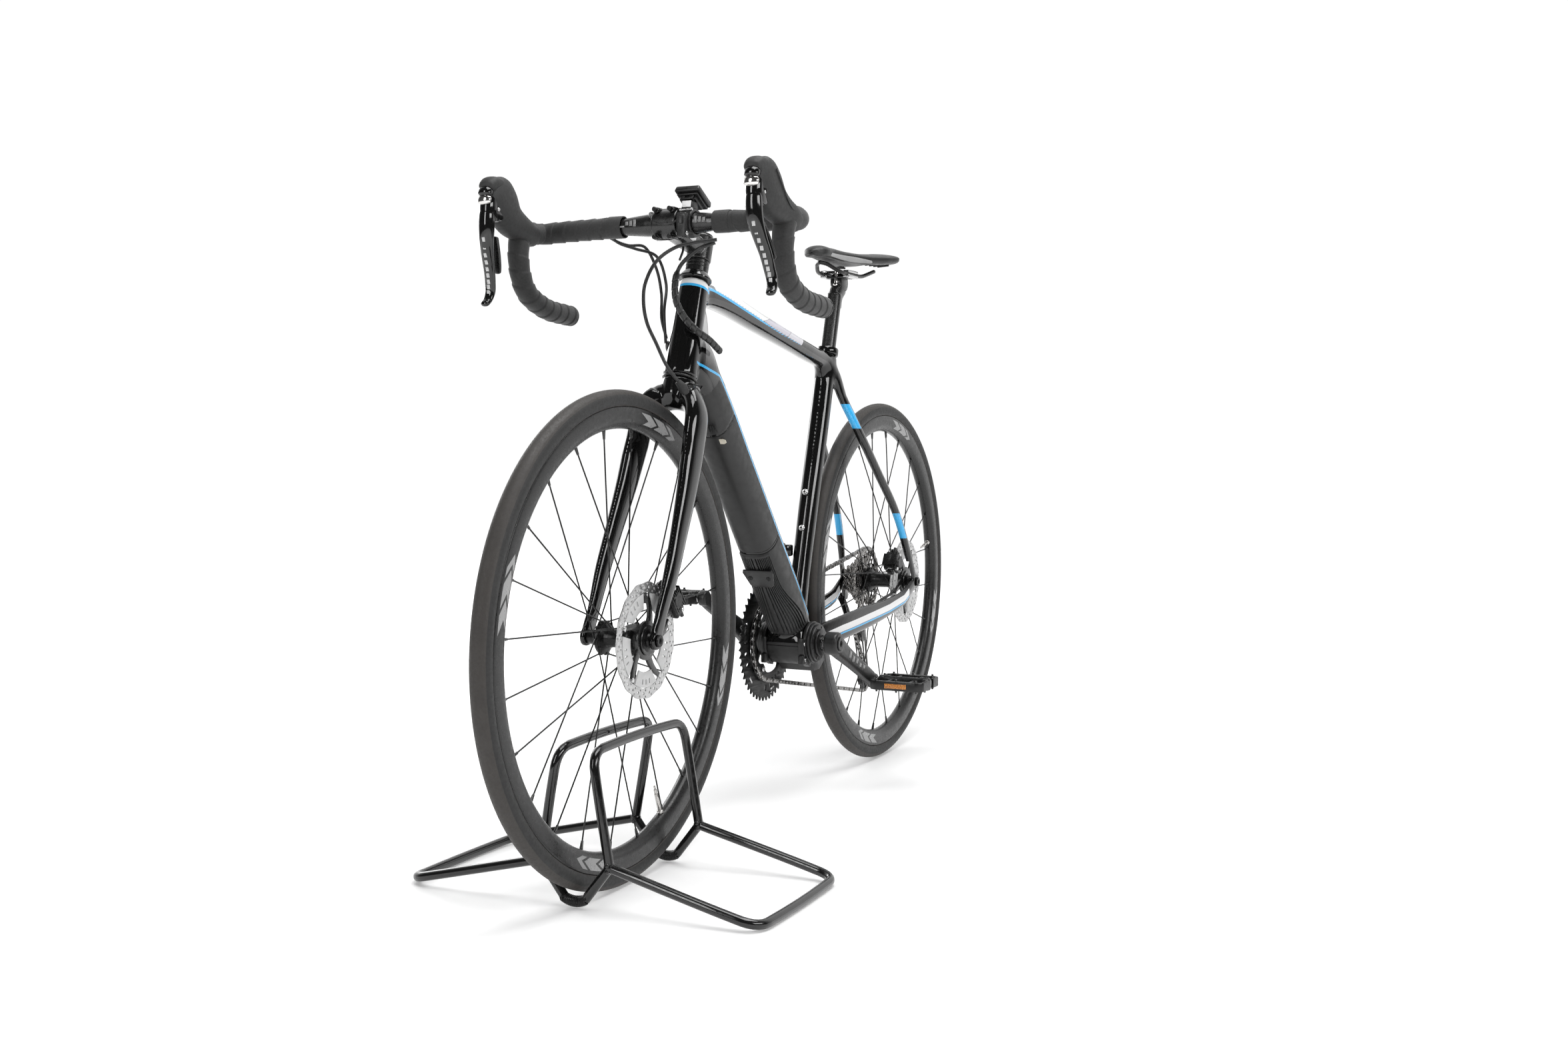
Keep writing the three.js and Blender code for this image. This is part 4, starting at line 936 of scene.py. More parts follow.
def polyline_offset(points, line):
    """Signed perpendicular distance, in the XZ plane, from a polyline, and the distance along it."""
    line = np.array(line, float)
    best = np.full(len(points), 1e9)
    side = np.zeros(len(points))
    along = np.zeros(len(points))
    total = 0.0
    for i, (a, b) in enumerate(zip(line, line[1:])):
        d = b - a
        length = np.linalg.norm(d)
        t = (points - a) @ d / length ** 2
        low = -1e9 if i == 0 else 0.0
        high = 1e9 if i == len(line) - 2 else 1.0
        t = np.clip(t, low, high)
        gap = points - (a + t[:, None] * d)
        distance = np.linalg.norm(gap, axis=1)
        cross = (d[0] * gap[:, 1] - d[1] * gap[:, 0]) / length
        nearer = distance < best
        best = np.where(nearer, distance, best)
        side = np.where(nearer, np.sign(cross) * distance, side)
        along = np.where(nearer, total + t * length, along)
        total += length
    return side, along


def offset_above(points, line, above):
    """Signed distance from a polyline, positive on the side where the point above lies."""
    probe = polyline_offset(np.array([above]), line)[0]
    return polyline_offset(points, line)[0] * np.sign(probe[0])


def relaxed(shape, steps, weight):
    """Smooths a mesh, each point as strongly as weight(points) says, from 0 to 1."""
    verts, faces = shape
    pairs = np.array([(a, b) for f in faces for a, b in zip(f, (*f[1:], f[0]))])
    count = np.maximum(np.bincount(pairs[:, 0], minlength=len(verts)), 1)[:, None]
    amount = np.asarray(weight(verts))[:, None]
    for _ in range(steps):
        total = np.stack([np.bincount(pairs[:, 0], verts[pairs[:, 1], k], len(verts)) for k in range(3)],
                         axis=1)
        verts = verts + amount * (total / count - verts)
    return verts, faces


blade = loft(BLADE_ROWS, 36, 2.3, 7, (4, 5))
crown = loft([(331, y, 674 - abs(y) * 0.2, 22 - abs(y) * 0.06, 20 - abs(y) * 0.08)
              for y in range(-36, 37, 6)], 36, 2.3,
             6, (8, 8), across=(0, 0, 1))
crown_seat = pin(on_steerer(-34), on_steerer(-3.6), 25, 48, 2, 24.4)
ends = [disc(13, side * 50, side * 58.5, HALF_BASE, WHEEL_R, 1.6, segments=48) for side in (1, -1)]
inner_room = block((HALF_BASE, 0, 330), (60, 99.6, 60), 0)
fork_shape = fused(merged(both_sides(blade), crown, crown_seat, *ends), 2.0, 4)
fork_shape = relaxed(fork_shape, 40, lambda v: 0.6 * np.clip((v[:, 2] - 590) / 40, 0, 1)
                     * np.clip((680 - v[:, 2]) / 14, 0, 1))
fork_shape = carved(fork_shape, inner_room)
steerer = pin(on_steerer(-10), on_steerer(HEAD_LENGTH + 60), 14.2, 32, 1)
fork_paint = painted("fork paint", [("stripe", SILVER, 1.4)])
fork = piece("fork and steerer", [(fork_shape, fork_paint), (steerer, MAT["black"])], "front_end", "fork",
             sharp=50)
co = points_of(fork)
axis_line = [(r[0], r[2]) for r in BLADE_ROWS[1:]]
behind, _ = polyline_offset(co[:, [0, 2]], axis_line)
depth = np.interp(-co[:, 2], [-r[2] for r in BLADE_ROWS[1:]], [r[4] for r in BLADE_ROWS[1:]])
edge_band = np.abs(np.abs(behind) - depth * 0.82) - 1.1
paint_fields(fork, {"stripe": np.maximum.reduce([edge_band, behind * np.sign(behind[np.argmin(co[:, 0])])
                                                 * -1 + 2,
                                                 co[:, 2] - 640, 380 - co[:, 2], 40 - np.abs(co[:, 1])])})


# ---------------------------------------------------------------- frame
DOWN_ROWS = [(318, 0, 766, 18, 24), (296, 0, 742, 22, 30), (250, 0, 689, 28, 33), (150, 0, 569, 30, 34),
             (50, 0, 449, 31, 34), (-30, 0, 353, 32, 34), (-74, 0, 300, 32, 32)]
TOP_ROWS = [(284, 0, 826, 18, 17), (198, 0, 821, 20, 17), (60, 0, 796, 19, 15), (-80, 0, 770, 17, 14),
            (-190, 0, 750, 16, 14), (-240, 0, 742, 14, 13)]
SEAT_ROWS = [(-80, 0, 269, 22, 20), (-105, 0, 345, 17, 17), (-151, 0, 500, 16.5, 17), (-201, 0, 660, 17, 17),
             (-223, 0, 735, 17.5, 17.5), (-230, 0, 757, 17.5, 17)]
LEFT_STAY = [(-88, 30, 268, 12, 20), (-130, 42, 277, 9, 22), (-170, 50, 283, 8, 22),
             (-271, 60, 293, 7.5, 21), (-360, 65, 301, 7, 17), (-430, 69, 312, 6.5, 14),
             (-480, 73, 334, 4, 11)]
RIGHT_STAY = [(-88, 20, 268, 12, 20), (-130, 25, 277, 8, 20), (-168, 28, 283, 7, 20), (-205, 42, 287, 7, 20),
              (-271, 60, 293, 7.5, 20), (-360, 65, 301, 6.5, 16), (-430, 69, 312, 6, 14),
              (-480, 73, 334, 4, 11)]
SEAT_STAY = [(-222, 8, 742, 8, 12), (-249, 20, 686, 7, 11), (-278, 35, 635, 7, 10), (-351, 48, 552, 7, 9),
             (-424, 60, 468, 6.5, 9), (-466, 68, 390, 6, 9), (-486, 73, 345, 4, 9)]

seat_stay = loft(SEAT_STAY, 28, 2.3, 6, (3, 3))
head_tube = pin(on_steerer(1), on_steerer(HEAD_LENGTH - 0.6), 25, 48, 1.5, 22)
shell_tube = disc(36, -34, 34, *BB, 4, segments=64)
gusset = loft([(296, 0, 812, 12, 18), (268, 0, 790, 11, 26), (262, 0, 762, 11, 26),
               (262, 0, 730, 12, 24)], 24, 2.3, 6)
seat_gusset = loft([(-196, 0, 748, 12, 13), (-212, 0, 728, 12, 16), (-216, 0, 700, 13, 13)], 24, 2.3, 6)
wishbone = loft([(-150, 3, 757, 12, 12), (-200, 6, 750, 10, 13), (-232, 13, 724, 8.5, 14),
                 (-249, 20, 686, 7.2, 12)], 28, 2.3, 5)
down_tube = loft([(302, 0, 748.5, 18, 24), *DOWN_ROWS[1:]], 48, 2.8)
tubes = merged(head_tube, both_sides(wishbone), loft(TOP_ROWS, 40, 2.4), loft(SEAT_ROWS, 40, 2.3), down_tube,
               shell_tube, loft(LEFT_STAY, 32, 2.4, 6), mirrored(loft(RIGHT_STAY, 32, 2.4, 6)), seat_stay,
               mirrored(seat_stay), gusset, seat_gusset,
               *[disc(15, side * 71.2, side * 76.6, -HALF_BASE, WHEEL_R, 1.5, segments=48)
                 for side in (1, -1)])
frame_shape = fused(tubes, 2.1, 5)
JUNCTIONS = (((276, 0, 790), 60), ((-205, 0, 735), 50), ((-60, 0, 300), 48))
frame_shape = relaxed(frame_shape, 24, lambda v: 0.6 * np.clip(
    1.6 - np.min([np.linalg.norm(v - np.array(at), axis=1) / reach for at, reach in JUNCTIONS], axis=0),
                                                               0, 1))


def seat_at(z):
    return BB[0] - (z - BB[1]) * SEAT_LEAN, 0, z


frame_shape = carved(
    frame_shape,
    pin(on_steerer(HEAD_LENGTH - 0.5), on_steerer(HEAD_LENGTH + 40), 40, 48, 0.1),
    pin(on_steerer(-40), on_steerer(0.2), 40, 48, 0.1),
    disc(13, -60, 60, *BB, 0.1),
    block((-HALF_BASE, 0, 334), (60, 141.6, 90), 0),
)
hanger = plate([[(-484, 331), (-498, 336), (-507, 332), (-512, 305), (-505, 297), (-494, 298),
                 (-488, 308)]], -76.6,
               -71.2, 1.2)
mech_mount = block((-112, -22, 420), (14, 15, 20), 3)
low_cup = spun([(15.2, -3.2), (24.6, -3.2), (25.4, -2.4), (25.4, -0.6), (24.6, 0.2), (15.2, 0.2)],
               on_steerer(0),
               tuple(HEAD_UP), 56)
frame_layers = [("grey_low", grey(0.46), 95.0), ("white", WHITE, 0.12),
                ("lavender", rgb(0.50, 0.48, 0.54), 0.12),
                ("pale", rgb(0.56, 0.55, 0.59), 0.12), ("cyan", CYAN, 0.12), ("line", BLACK, 0.12)]
main = piece("frame", [(frame_shape, painted("frame paint", frame_layers)),
                       (merged(hanger, mech_mount), MAT["gloss"]),
                       (low_cup, MAT["black"])], "main_frame", "frame", sharp=50)


def frame_fields(obj):
    """Signed distances from the edges of each painted area of the frame."""
    co = points_of(obj)
    flat = co[:, [0, 2]]
    x, y, z = co[:, 0], co[:, 1], co[:, 2]
    up = (co - HEAD_LOW) @ HEAD_UP
    ahead = (co - HEAD_LOW) @ HEAD_AHEAD
    top_line = [(290, 838), (276, 833), (247, 831), (180, 817), (78, 796), (9, 782), (-71, 768), (-100, 762)]
    above, along = polyline_offset(flat, top_line)
    above = -above if above[np.argmax(z)] < 0 else above
    half = np.interp(along, [0, 360], [2.4, 0.5])
    in_top = np.maximum(750 - z, -x - 200)
    collar_ring = np.maximum.reduce([np.abs(up - 137.5) - 1.9, 262 - x])
    sep1, sep2, sep3 = (x - (78 - 2.5 * above)), (x - (-20 - 1.5 * above)), (x - (-79 - above))
    over = np.maximum.reduce([half - above, in_top, x - 270])
    head_white = np.maximum(139 - up, 262 - x)
    white = np.minimum(np.maximum(over, -sep1), head_white)
    lavender = np.maximum.reduce([over, sep1 + 1.0, -sep2])
    pale = np.maximum.reduce([over, sep2 + 1.0, -sep3])
    stripe = np.maximum.reduce([np.abs(above) - half, in_top, -x - 76, x - 268])
    thin = np.maximum.reduce([np.abs(above - half - 0.8) - 0.45, in_top, -x - 76, x - 262])
    seams = np.minimum(np.abs(sep1 + 0.5), np.abs(sep2 + 0.5)) - 0.5
    thin = np.minimum(thin, np.maximum(over, seams))
    low_grey = np.maximum.reduce([(above + half) * 150, 175 - x, (740 - z) * 4, (ahead + 22) * 60,
                                  (up - 120) * 90])
    down_line = [(r[0], r[2]) for r in DOWN_ROWS]
    off = offset_above(flat, down_line, (50.0, 520.0))
    on_down = np.maximum.reduce([z - 716, 292 - z, x - 330, -92 - x])
    down_cyan = np.maximum(np.abs(off - 15.5) - 2.1, np.maximum(on_down, z - 700))
    nose, _ = polyline_offset(flat, [(312, 722), (279, 712), (246, 705), (232, 697)])
    down_cyan = np.minimum(down_cyan,
                           np.maximum.reduce([np.abs(nose) - 1.9, x - 312, 232 - x, 15 - np.abs(y)]))
    down_white = np.maximum(np.abs(off - 21.0) - 2.6, np.maximum(on_down, z - 690))
    stay_line = [(r[0], r[2]) for r in LEFT_STAY]
    stay_off = offset_above(flat, stay_line, (-271.0, 320.0))
    on_stay = np.maximum.reduce([x + 104, -x - 452, 20 - np.abs(y), z - 340])
    stay_cyan = np.maximum(np.abs(stay_off + 6.5) - 1.5, on_stay)
    stay_white = np.maximum(np.abs(stay_off - 1.5) - 5.6, on_stay)
    on_seat_stay = np.maximum.reduce([x + 215, 12 - np.abs(y)])
    axis_x = np.interp(-z, [-r[2] for r in SEAT_STAY], [r[0] for r in SEAT_STAY])
    front = np.maximum(-(x - axis_x) - 2.5, on_seat_stay)
    block_one = np.abs(z - 650.5) - 21.5
    block_two = np.where(y > 0, np.abs(z - 448) - 24, np.abs(z - 447.5) - 20.5)
    blocks = np.maximum(np.minimum(block_one, block_two), front)
    return {"grey_low": low_grey, "white": np.minimum.reduce([white, down_white, stay_white]),
            "lavender": lavender,
            "pale": pale, "cyan": np.minimum.reduce([stripe, collar_ring, down_cyan, stay_cyan, blocks]),
            "line": thin}


paint_fields(main, frame_fields(main))


# ---------------------------------------------------------------- battery and motor covers
COVER_WRAP = math.radians(103)
MOTOR_SPLIT = 415.2  # from the down tube's upper end to the joint of the two covers
RIBS = 19


def cover_shell(s_low, s_high, step, wrap, grow, sides=96):
    """A shell on the down tube's underside and flanks, from s_low to s_high along it.

    wrap(s) is its half angle round the tube and grow(s, angles) how far it stands off the tube.
    """
    path, where = resampled(DOWN_ROWS, step)
    s = MOTOR_SPLIT - where
    along = path_tangents(path[:, :3])
    rings = []
    for i in np.where((s >= s_low) & (s <= s_high))[0]:
        u, v = np.array((0, 1, 0.0)), np.cross(along[i], (0, 1, 0))
        angles = np.linspace(-wrap(s[i]), wrap(s[i]), sides)
        width, depth = path[i][3], path[i][4]
        unit_x, unit_z = bent(np.sin(angles), 2.8), bent(np.cos(angles), 2.8)
        lift = np.broadcast_to(grow(s[i], angles), angles.shape)
        outer = path[i][:3] + np.outer(unit_x * (width + lift), u) + np.outer(unit_z * (depth + lift), v)
        inner = path[i][:3] + np.outer(unit_x * (width - 2.5), u) + np.outer(unit_z * (depth - 2.5), v)
        rings.append(np.concatenate([outer, inner[::-1]]))
    return skinned(rings)


def edge_roll(distance, size=1.6):
    return -np.clip(1 - distance / size, 0, 1) ** 2 * size * 0.8


def battery_grow(s, angles):
    """How far the battery cover stands off the tube, with a groove where its cap begins."""
    split = 243 + 7 * (1 - np.cos(angles))
    lift = 1.2 + edge_roll(abs(s - 4)) + edge_roll((COVER_WRAP - np.abs(angles)) * 30)
    lift = lift - 2.2 * np.exp(-((s - split) / 1.2) ** 2)
    return lift - 1.1 * (s > split)


def battery_wrap(s):
    """Half angle of the battery cover, closing to a rounded nose at its top."""
    return COVER_WRAP * math.sqrt(max(1 - max((s - 300) / 54, 0) ** 2, 0.02))


battery = cover_shell(2.0, 352, 1.4, battery_wrap, battery_grow)


def rib_edge(s):
    """Half angle of the ribbed panel: narrow at its top, sweeping out to the flanks lower down."""
    t = min(max((-62 - s) / 105, 0), 1)
    return math.radians(47 + 43 * t * t * (3 - 2 * t))


def ribs_grow(s, angles):
    """A raised panel whose grooves run along the tube and spread out with the panel's edge."""
    edge = rib_edge(s)
    side = np.abs(angles) / edge
    ends = min(max((s + 188) / 3, 0), 1) * min(max((-2 - s) / 3, 0), 1)
    inside = np.clip((1 - side) * 30, 0, 1) * ends
    wave = np.clip(np.cos(angles / edge * RIBS * math.pi) * 1.9 + 0.95, 0, 1)
    grooves = (1 - wave) * (side < 0.94) * min(max((s + 186) / 6, 0), 1) * min(max((-8 - s) / 4, 0), 1)
    rim = edge_roll(abs(s + 193)) + edge_roll(abs(s + 1)) + edge_roll((COVER_WRAP - np.abs(angles)) * 30)
    return 1.0 + rim + 1.7 * inside - 2.3 * grooves


motor = cover_shell(-193, -1.0, 1.5, lambda s: COVER_WRAP * (1 - 0.12 * max((-120 - s) / 75, 0)),
                    ribs_grow, 420)
DOWN_DIR, UNDER = np.array((0.641, 0, 0.767)), np.array((0.767, 0, -0.641))
COVER_ORIGIN = np.array((50, 0, 449))


def on_cover(s, y, out):
    """A point on the middle of the tube's underside, s along it and out from it."""
    return COVER_ORIGIN + DOWN_DIR * s + UNDER * (34 + out) + np.array((0, y, 0))


def cover_plate(corners, thickness, s_mid, out, edge=0.8):
    """A flat plate on the underside; corners are (y, s) round s_mid."""
    flat = plate([[(y, s - s_mid) for y, s in corners]], 0, thickness, edge)
    verts = flat[0]
    base = on_cover(s_mid, 0, out)
    turned_verts = base + np.outer(verts[:, 0], (0, 1, 0)) + np.outer(verts[:, 2],
                                                                      DOWN_DIR) + np.outer(verts[:, 1],
                                                                                           UNDER)
    return turned_verts, flat[1]


badge = cover_plate([(-25, -33), (-27, -38), (-21, -66), (-14, -70), (14, -70), (21, -66), (27, -38),
                     (25, -33)], 3.4, -51, 2.4)
screws = [pin(on_cover(-50, y, 3), on_cover(-50, y, 6.8), 4.2, 20, 0.8) for y in (-16, 16)]
# near-black hexagons on the screw heads, painted shade for their hex sockets
painted_socket_shade = [pin(on_cover(-50, y, 4), on_cover(-50, y, 6.95), 1.9, 6, 0.1) for y in (-16, 16)]
EIGHT_SIDED = ((-1, -0.5), (-0.6, -1), (0.6, -1), (1, -0.5), (1, 0.5), (0.6, 1), (-0.6, 1), (-1, 0.5))
plug = cover_plate([(a * 10, 228 + b * 4.6) for a, b in EIGHT_SIDED], 1.2, 228, 1.2, 0.4)
plug = moved(plug, (0, 17, 6))
# four near-black slits on the cover, painted shade for its vent openings
painted_vent_shade = [pin(on_cover(253, y, 1.0), on_cover(266, y, 1.0), 1.0, 8, 0.5) for y in (8, 12, 16, 20)]
piece("battery cover", [(battery, MAT["cover"]), (plug, MAT["ivory"]), (merged(*painted_vent_shade), MAT["groove"])],
      "main_frame",
      "battery_cover", sharp=30)
piece("motor cover", [(motor, MAT["cover"]), (badge, MAT["cover_dark"]), (merged(*screws), MAT["anodised"]),
                      (merged(*painted_socket_shade), MAT["groove"])], "main_frame", "motor_cover",
      sharp=30)

# ---------------------------------------------------------------- gearbox case and bottom bracket
SKID = [(-84, 238), (-104, 216.8), (-128, 216.8), (-149.6, 230), (-146.6, 241.6), (-112, 241.6)]
skid_shape = carved(plate([SKID], -30.8, 30.8, 1.4), disc(36.4, -40, 40, *BB, 0.1, segments=72))
skid_shape = carved(skid_shape,
                    *[block((-116, y, 216.4), (20, 1.6, 2.2), 0.3, 1) for y in (-20, -10, 0, 10, 20)])


def shell_arc(first, last, radius, y_half, thick, bevel=0.8, count=26):
    """A band round the bottom bracket shell between two angles."""
    angles = np.radians(np.linspace(first, last, count))
    outer = [polar(radius, a, *BB) for a in angles]
    inner = [polar(radius - thick, a, *BB) for a in angles[::-1]]
    return plate([outer + inner], -y_half, y_half, bevel)


case_band = shell_arc(-66, -6, 38.6, 33.6, 4)
case_lip = shell_arc(-4.6, 2.5, 38.2, 33.8, 4, 0.7, 6)
case_rim = shell_arc(-98, -68, 37.6, 32.6, 3, 0.6, 12)
bracket_arm = merged(shell_arc(-74, 14, 41.5, 5.2, 7, 1.2),
                     block((BB[0] + 33, 0, BB[1] - 26), (16, 10.4, 16), 2.5, 3))
side_arms = merged(*[moved(bracket_arm, (0, s * 34.2, 0)) for s in (1, -1)])
screw_heads = [pin((x, 38, z), (x, 40.6, z), 3.3, 18, 0.6) for x, z in ((-43.5, 270), (-47, 243))]
cups, dark = [], []
for side in (1, -1):

    def step(out):
        return 34 * side + side * out

    cups += [disc(35.4, step(0.3), step(7), *BB, 1.2, 14, 72),
             disc(33.4, step(7), step(12), *BB, 0.8, 14, 72),
             disc(30.5, step(12), step(17), *BB, 1.2, 14, 72),
             disc(23, step(17), step(22), *BB, 1.0, 13, 64)]
    for i in range(8):
        a = TAU * (i + 0.5) / 8
        px, pz = polar(30.4, a, *BB)
        dark.append(disc(2.1, step(16.2), step(17.8), px - 3.6 * math.cos(a), pz - 3.6 * math.sin(a), 0.4,
                         segments=14))
spindle = disc(12.2, 50, 64.4, *BB, 0.4, segments=48)
piece("gearbox case", [(skid_shape, MAT["cover"]), (merged(case_band, case_lip, case_rim), MAT["cover"]),
                       (side_arms, MAT["cover_dark"]),
                       (merged(*screw_heads), MAT["steel"]), (merged(*cups), MAT["cover_dark"]),
                       (merged(*dark), MAT["black"]), (spindle, MAT["steel"])],
      "main_frame", "gearbox_case", sharp=30)


# ---------------------------------------------------------------- disc brakes
def brake_caliper(angle, reach, width, length, tall, stub):
    """A two-pot caliper about the world origin, lying along the rotor's edge at an angle round the axle."""
    parts, fins = [], []
    for side in (1, -1):
        parts.append(block((reach, side * (width / 4 + 2.2), 0), (tall, width / 2 - 4.4, length), 3.5, 4))
        parts.append(spun([(0.02, 0), (10.5, 0), (11.5, 1), (11.5, 3), (10, 4.5), (0.02, 4.5)],
                          (reach + 1, side * (width / 2 - 1.2), 0), (0, side, 0), 40))
        for k in range(7):
            fins.append(block((reach - tall / 2 + 1 + k * 4.2, side * (width / 4 + 1), 0),
                              (1.3, width / 2 + 3, length * 0.62), 0.4, 2))
    parts.append(block((reach + tall / 2 - 3, 0, 0), (7, width * 0.6, length * 0.86), 2.5, 3))
    bolts = [pin((reach + 4, -width / 2, s * length * 0.4), (reach + 4, width / 2 + 2, s * length * 0.4),
                 3.6, 20, 0.8)
             for s in (1, -1)]
    ends = [block((reach + 2, 0, s * (length / 2 + 3)), (13, 12, 8), 3, 3) for s in (1, -1)]
    hose = tube([(reach + 6, stub[1], length * 0.3), (reach + 12, stub[1], length * 0.5),
                 (reach + 12, stub[1], length * 0.5 + stub[0])], 2.9, 16, 3)
    out = []
    for shape, material in ((merged(*parts, *ends), "anodised"), (merged(*fins), "black"),
                            (merged(*bolts), "steel"), (hose, "jacket")):
        out.append((turned(shape, -angle, (0, 1, 0)), MAT[material]))
    return out


def brake_pads(angle, y):
    """Two pads with their cooling plates and retaining pin."""
    plates, metal = [], []
    for side in (1, -1):
        plates.append(block((72, side * 2.6, 0), (25, 2.2, 19), 0.6, 2))
        metal.append(block((78, side * 4.2, 0), (12, 0.9, 21), 0.3, 2))
    metal.append(pin((83, -4.6, 5), (83, 4.6, 5), 1.0, 10, 0.3))
    return [(turned(merged(*plates), -angle, (0, 1, 0)), MAT["groove"]),
            (turned(merged(*metal), -angle, (0, 1, 0)), MAT["steel"])]


BRAKES = (("front", HALF_BASE, ROTOR_Y["front"], 2.48, (79, 29, 50, 24), (16, 4), "front_end"),
          ("rear", -HALF_BASE, ROTOR_Y["rear"], 0.55, (77, 25, 36, 24), (6, 4), "main_frame"))
for end, x, y, angle, (reach, width, length, tall), stub, body in BRAKES:

    def put(parts):
        return [(moved(s, (x, y, WHEEL_R)), m) for s, m in parts]

    piece(f"{end} brake caliper", put(brake_caliper(angle, reach, width, length, tall, stub)), body,
          f"{end}_caliper",
          sharp=30)
    piece(f"{end} brake pads", put(brake_pads(angle, y)), body, f"{end}_brake_pads")

# ---------------------------------------------------------------- headset, stem and bar
def along_steerer(outline, base, segments=64):
    return spun(outline, on_steerer(base), tuple(HEAD_UP), segments)


cone = along_steerer([(14.8, 0.5), (24.2, 0.5), (25, 1.4), (25, 3.2), (22.6, 6.6), (19.6, 10.4),
                      (18.4, 12), (14.8, 12)],
                     HEAD_LENGTH)
spacers = [along_steerer([(14.8, a), (17.1, a), (17.7, a + 0.6), (17.7, b - 0.6), (17.1, b), (14.8, b)],
                         HEAD_LENGTH)
           for a, b in ((12.1, 20.2), (20.4, 25.4), (25.6, 30.5))]
piece("headset cover and spacers", [(cone, MAT["gloss"]), (merged(*spacers), MAT["black"])], "front_end",
      "headset_spacers", sharp=28)
BAR = np.array((350.0, 0, 916))
stem_low = HEAD_LENGTH + 31
stem_body = fused(merged(
    along_steerer([(14.8, 0), (18.4, 0), (19.2, 1.2), (19.2, 37), (17.6, 39.5), (14.8, 39.5)], stem_low),
    loft([(262, 0, 892, 14, 12), (292, 0, 899, 15.5, 14), (326, 0, 909, 17.5, 16), (340, 0, 913, 19, 18)],
         32, 2.8, 5, (3, 0)),
    spun([(16.6, -19.6), (20.2, -19.6), (21.4, -18.2), (21.4, 18.2), (20.2, 19.6), (16.6, 19.6)], BAR,
         (0, 1, 0), 64),
), 1.1, 3)
ears = [block(BAR + np.array((10, y, s * 19)), (18, 9.6, 8), 3.2, 4) for s in (1, -1) for y in (-12.5, 12.5)]


def faceplate_pins(x0, x1, radius, sides, edge):
    return [pin(BAR + np.array((x0, y, s * 19.5)), BAR + np.array((x1, y, s * 19.5)), radius, sides, edge)
            for s in (1, -1) for y in (-12, 12)]


stem_bolts = faceplate_pins(8, 25, 3.4, 20, 0.7)
# near-black hexagons in the faceplate bolts and a thin near-black slab across the clamp: painted shade for
# the bolt sockets and the faceplate's split
stem_socket_shade = faceplate_pins(20, 25.2, 1.7, 6, 0.1)
painted_split_shade = block(BAR + np.array((1.5, 0, 0)), (1.2, 39.6, 44.5), 0.3, 1)
top_cap = along_steerer([(0.02, 38), (16, 38), (17.4, 39.2), (17.4, 41), (16, 42), (4, 42), (3.6, 40.4),
                         (0.02, 40.4)], stem_low)
rear_bolts = [pin(on_steerer(stem_low + d, -21, -8), on_steerer(stem_low + d, -21, 9), 3.2, 18, 0.8)
              for d in (9, 29)]
rear_lugs = [block(on_steerer(stem_low + d, -19, 0), (9, 14, 10), 2.5, 3) for d in (9, 29)]
side_paint = [loft([(298, s * 15.6, 902, 0.8, 7), (318, s * 17.2, 907.5, 0.8, 9),
                    (334, s * 18.3, 911.5, 0.8, 8)], 16, 2.6, 4, (2, 2))
              for s in (1, -1)]
piece("stem", [(stem_body, MAT["black"]), (merged(*ears, *rear_lugs, top_cap), MAT["black"]),
               (merged(*stem_bolts, *rear_bolts), MAT["anodised"]),
               (merged(*stem_socket_shade, painted_split_shade), MAT["groove"]),
               (merged(*side_paint), MAT["silver_paint"])], "front_end", "stem", sharp=30)

BAR_CORNERS = [(350, 0, 916), (350, 60, 916), (351, 168, 914), (362, 205, 911), (410, 210, 905),
               (420, 209, 868), (404, 208, 826), (356, 208, 804), (283, 209, 797)]


def smooth_path(corners, step):
    """Centripetal spline through the corners."""
    c = np.array(corners, float)
    c = np.concatenate([[2 * c[0] - c[1]], c, [2 * c[-1] - c[-2]]])
    out = []
    for p0, p1, p2, p3 in zip(c, c[1:], c[2:], c[3:]):
        t0 = 0.0
        t1 = t0 + np.linalg.norm(p1 - p0) ** 0.5
        t2 = t1 + np.linalg.norm(p2 - p1) ** 0.5
        t3 = t2 + np.linalg.norm(p3 - p2) ** 0.5
        count = max(3, int(np.linalg.norm(p2 - p1) / step))
        for t in np.linspace(t1, t2, count, endpoint=False):
            a1 = (t1 - t) / (t1 - t0) * p0 + (t - t0) / (t1 - t0) * p1
            a2 = (t2 - t) / (t2 - t1) * p1 + (t - t1) / (t2 - t1) * p2
            a3 = (t3 - t) / (t3 - t2) * p2 + (t - t2) / (t3 - t2) * p3
            b1 = (t2 - t) / (t2 - t0) * a1 + (t - t0) / (t2 - t0) * a2
            b2 = (t3 - t) / (t3 - t1) * a2 + (t - t1) / (t3 - t1) * a3
            out.append((t2 - t) / (t2 - t1) * b1 + (t - t1) / (t2 - t1) * b2)
    out.append(c[-2])
    return np.array(out)


bar_path = smooth_path(BAR_CORNERS, 2.0)
bar_at = travelled(bar_path)
half_bar = tube(bar_path, lambda d, a: np.interp(d, [34, 74], [15.8, 11.9]), 32)
patches = [block(BAR + np.array((14.9 - i * 0.35, 49 + i * 6.4, 3)), (1.0, 4.8, 9.5 - i * 2), 0.4, 2)
           for i in range(3)]
label = merged(*patches, block(BAR + np.array((13.2, 71, -1)), (0.9, 9, 2.4), 0.3, 2))
piece("handlebar", [(both_sides(half_bar), MAT["black"]), (both_sides(label), MAT["faint_print"])],
      "front_end", "handlebar", sharp=40)

TAPE_START = 78.0
WRAP = 21.0


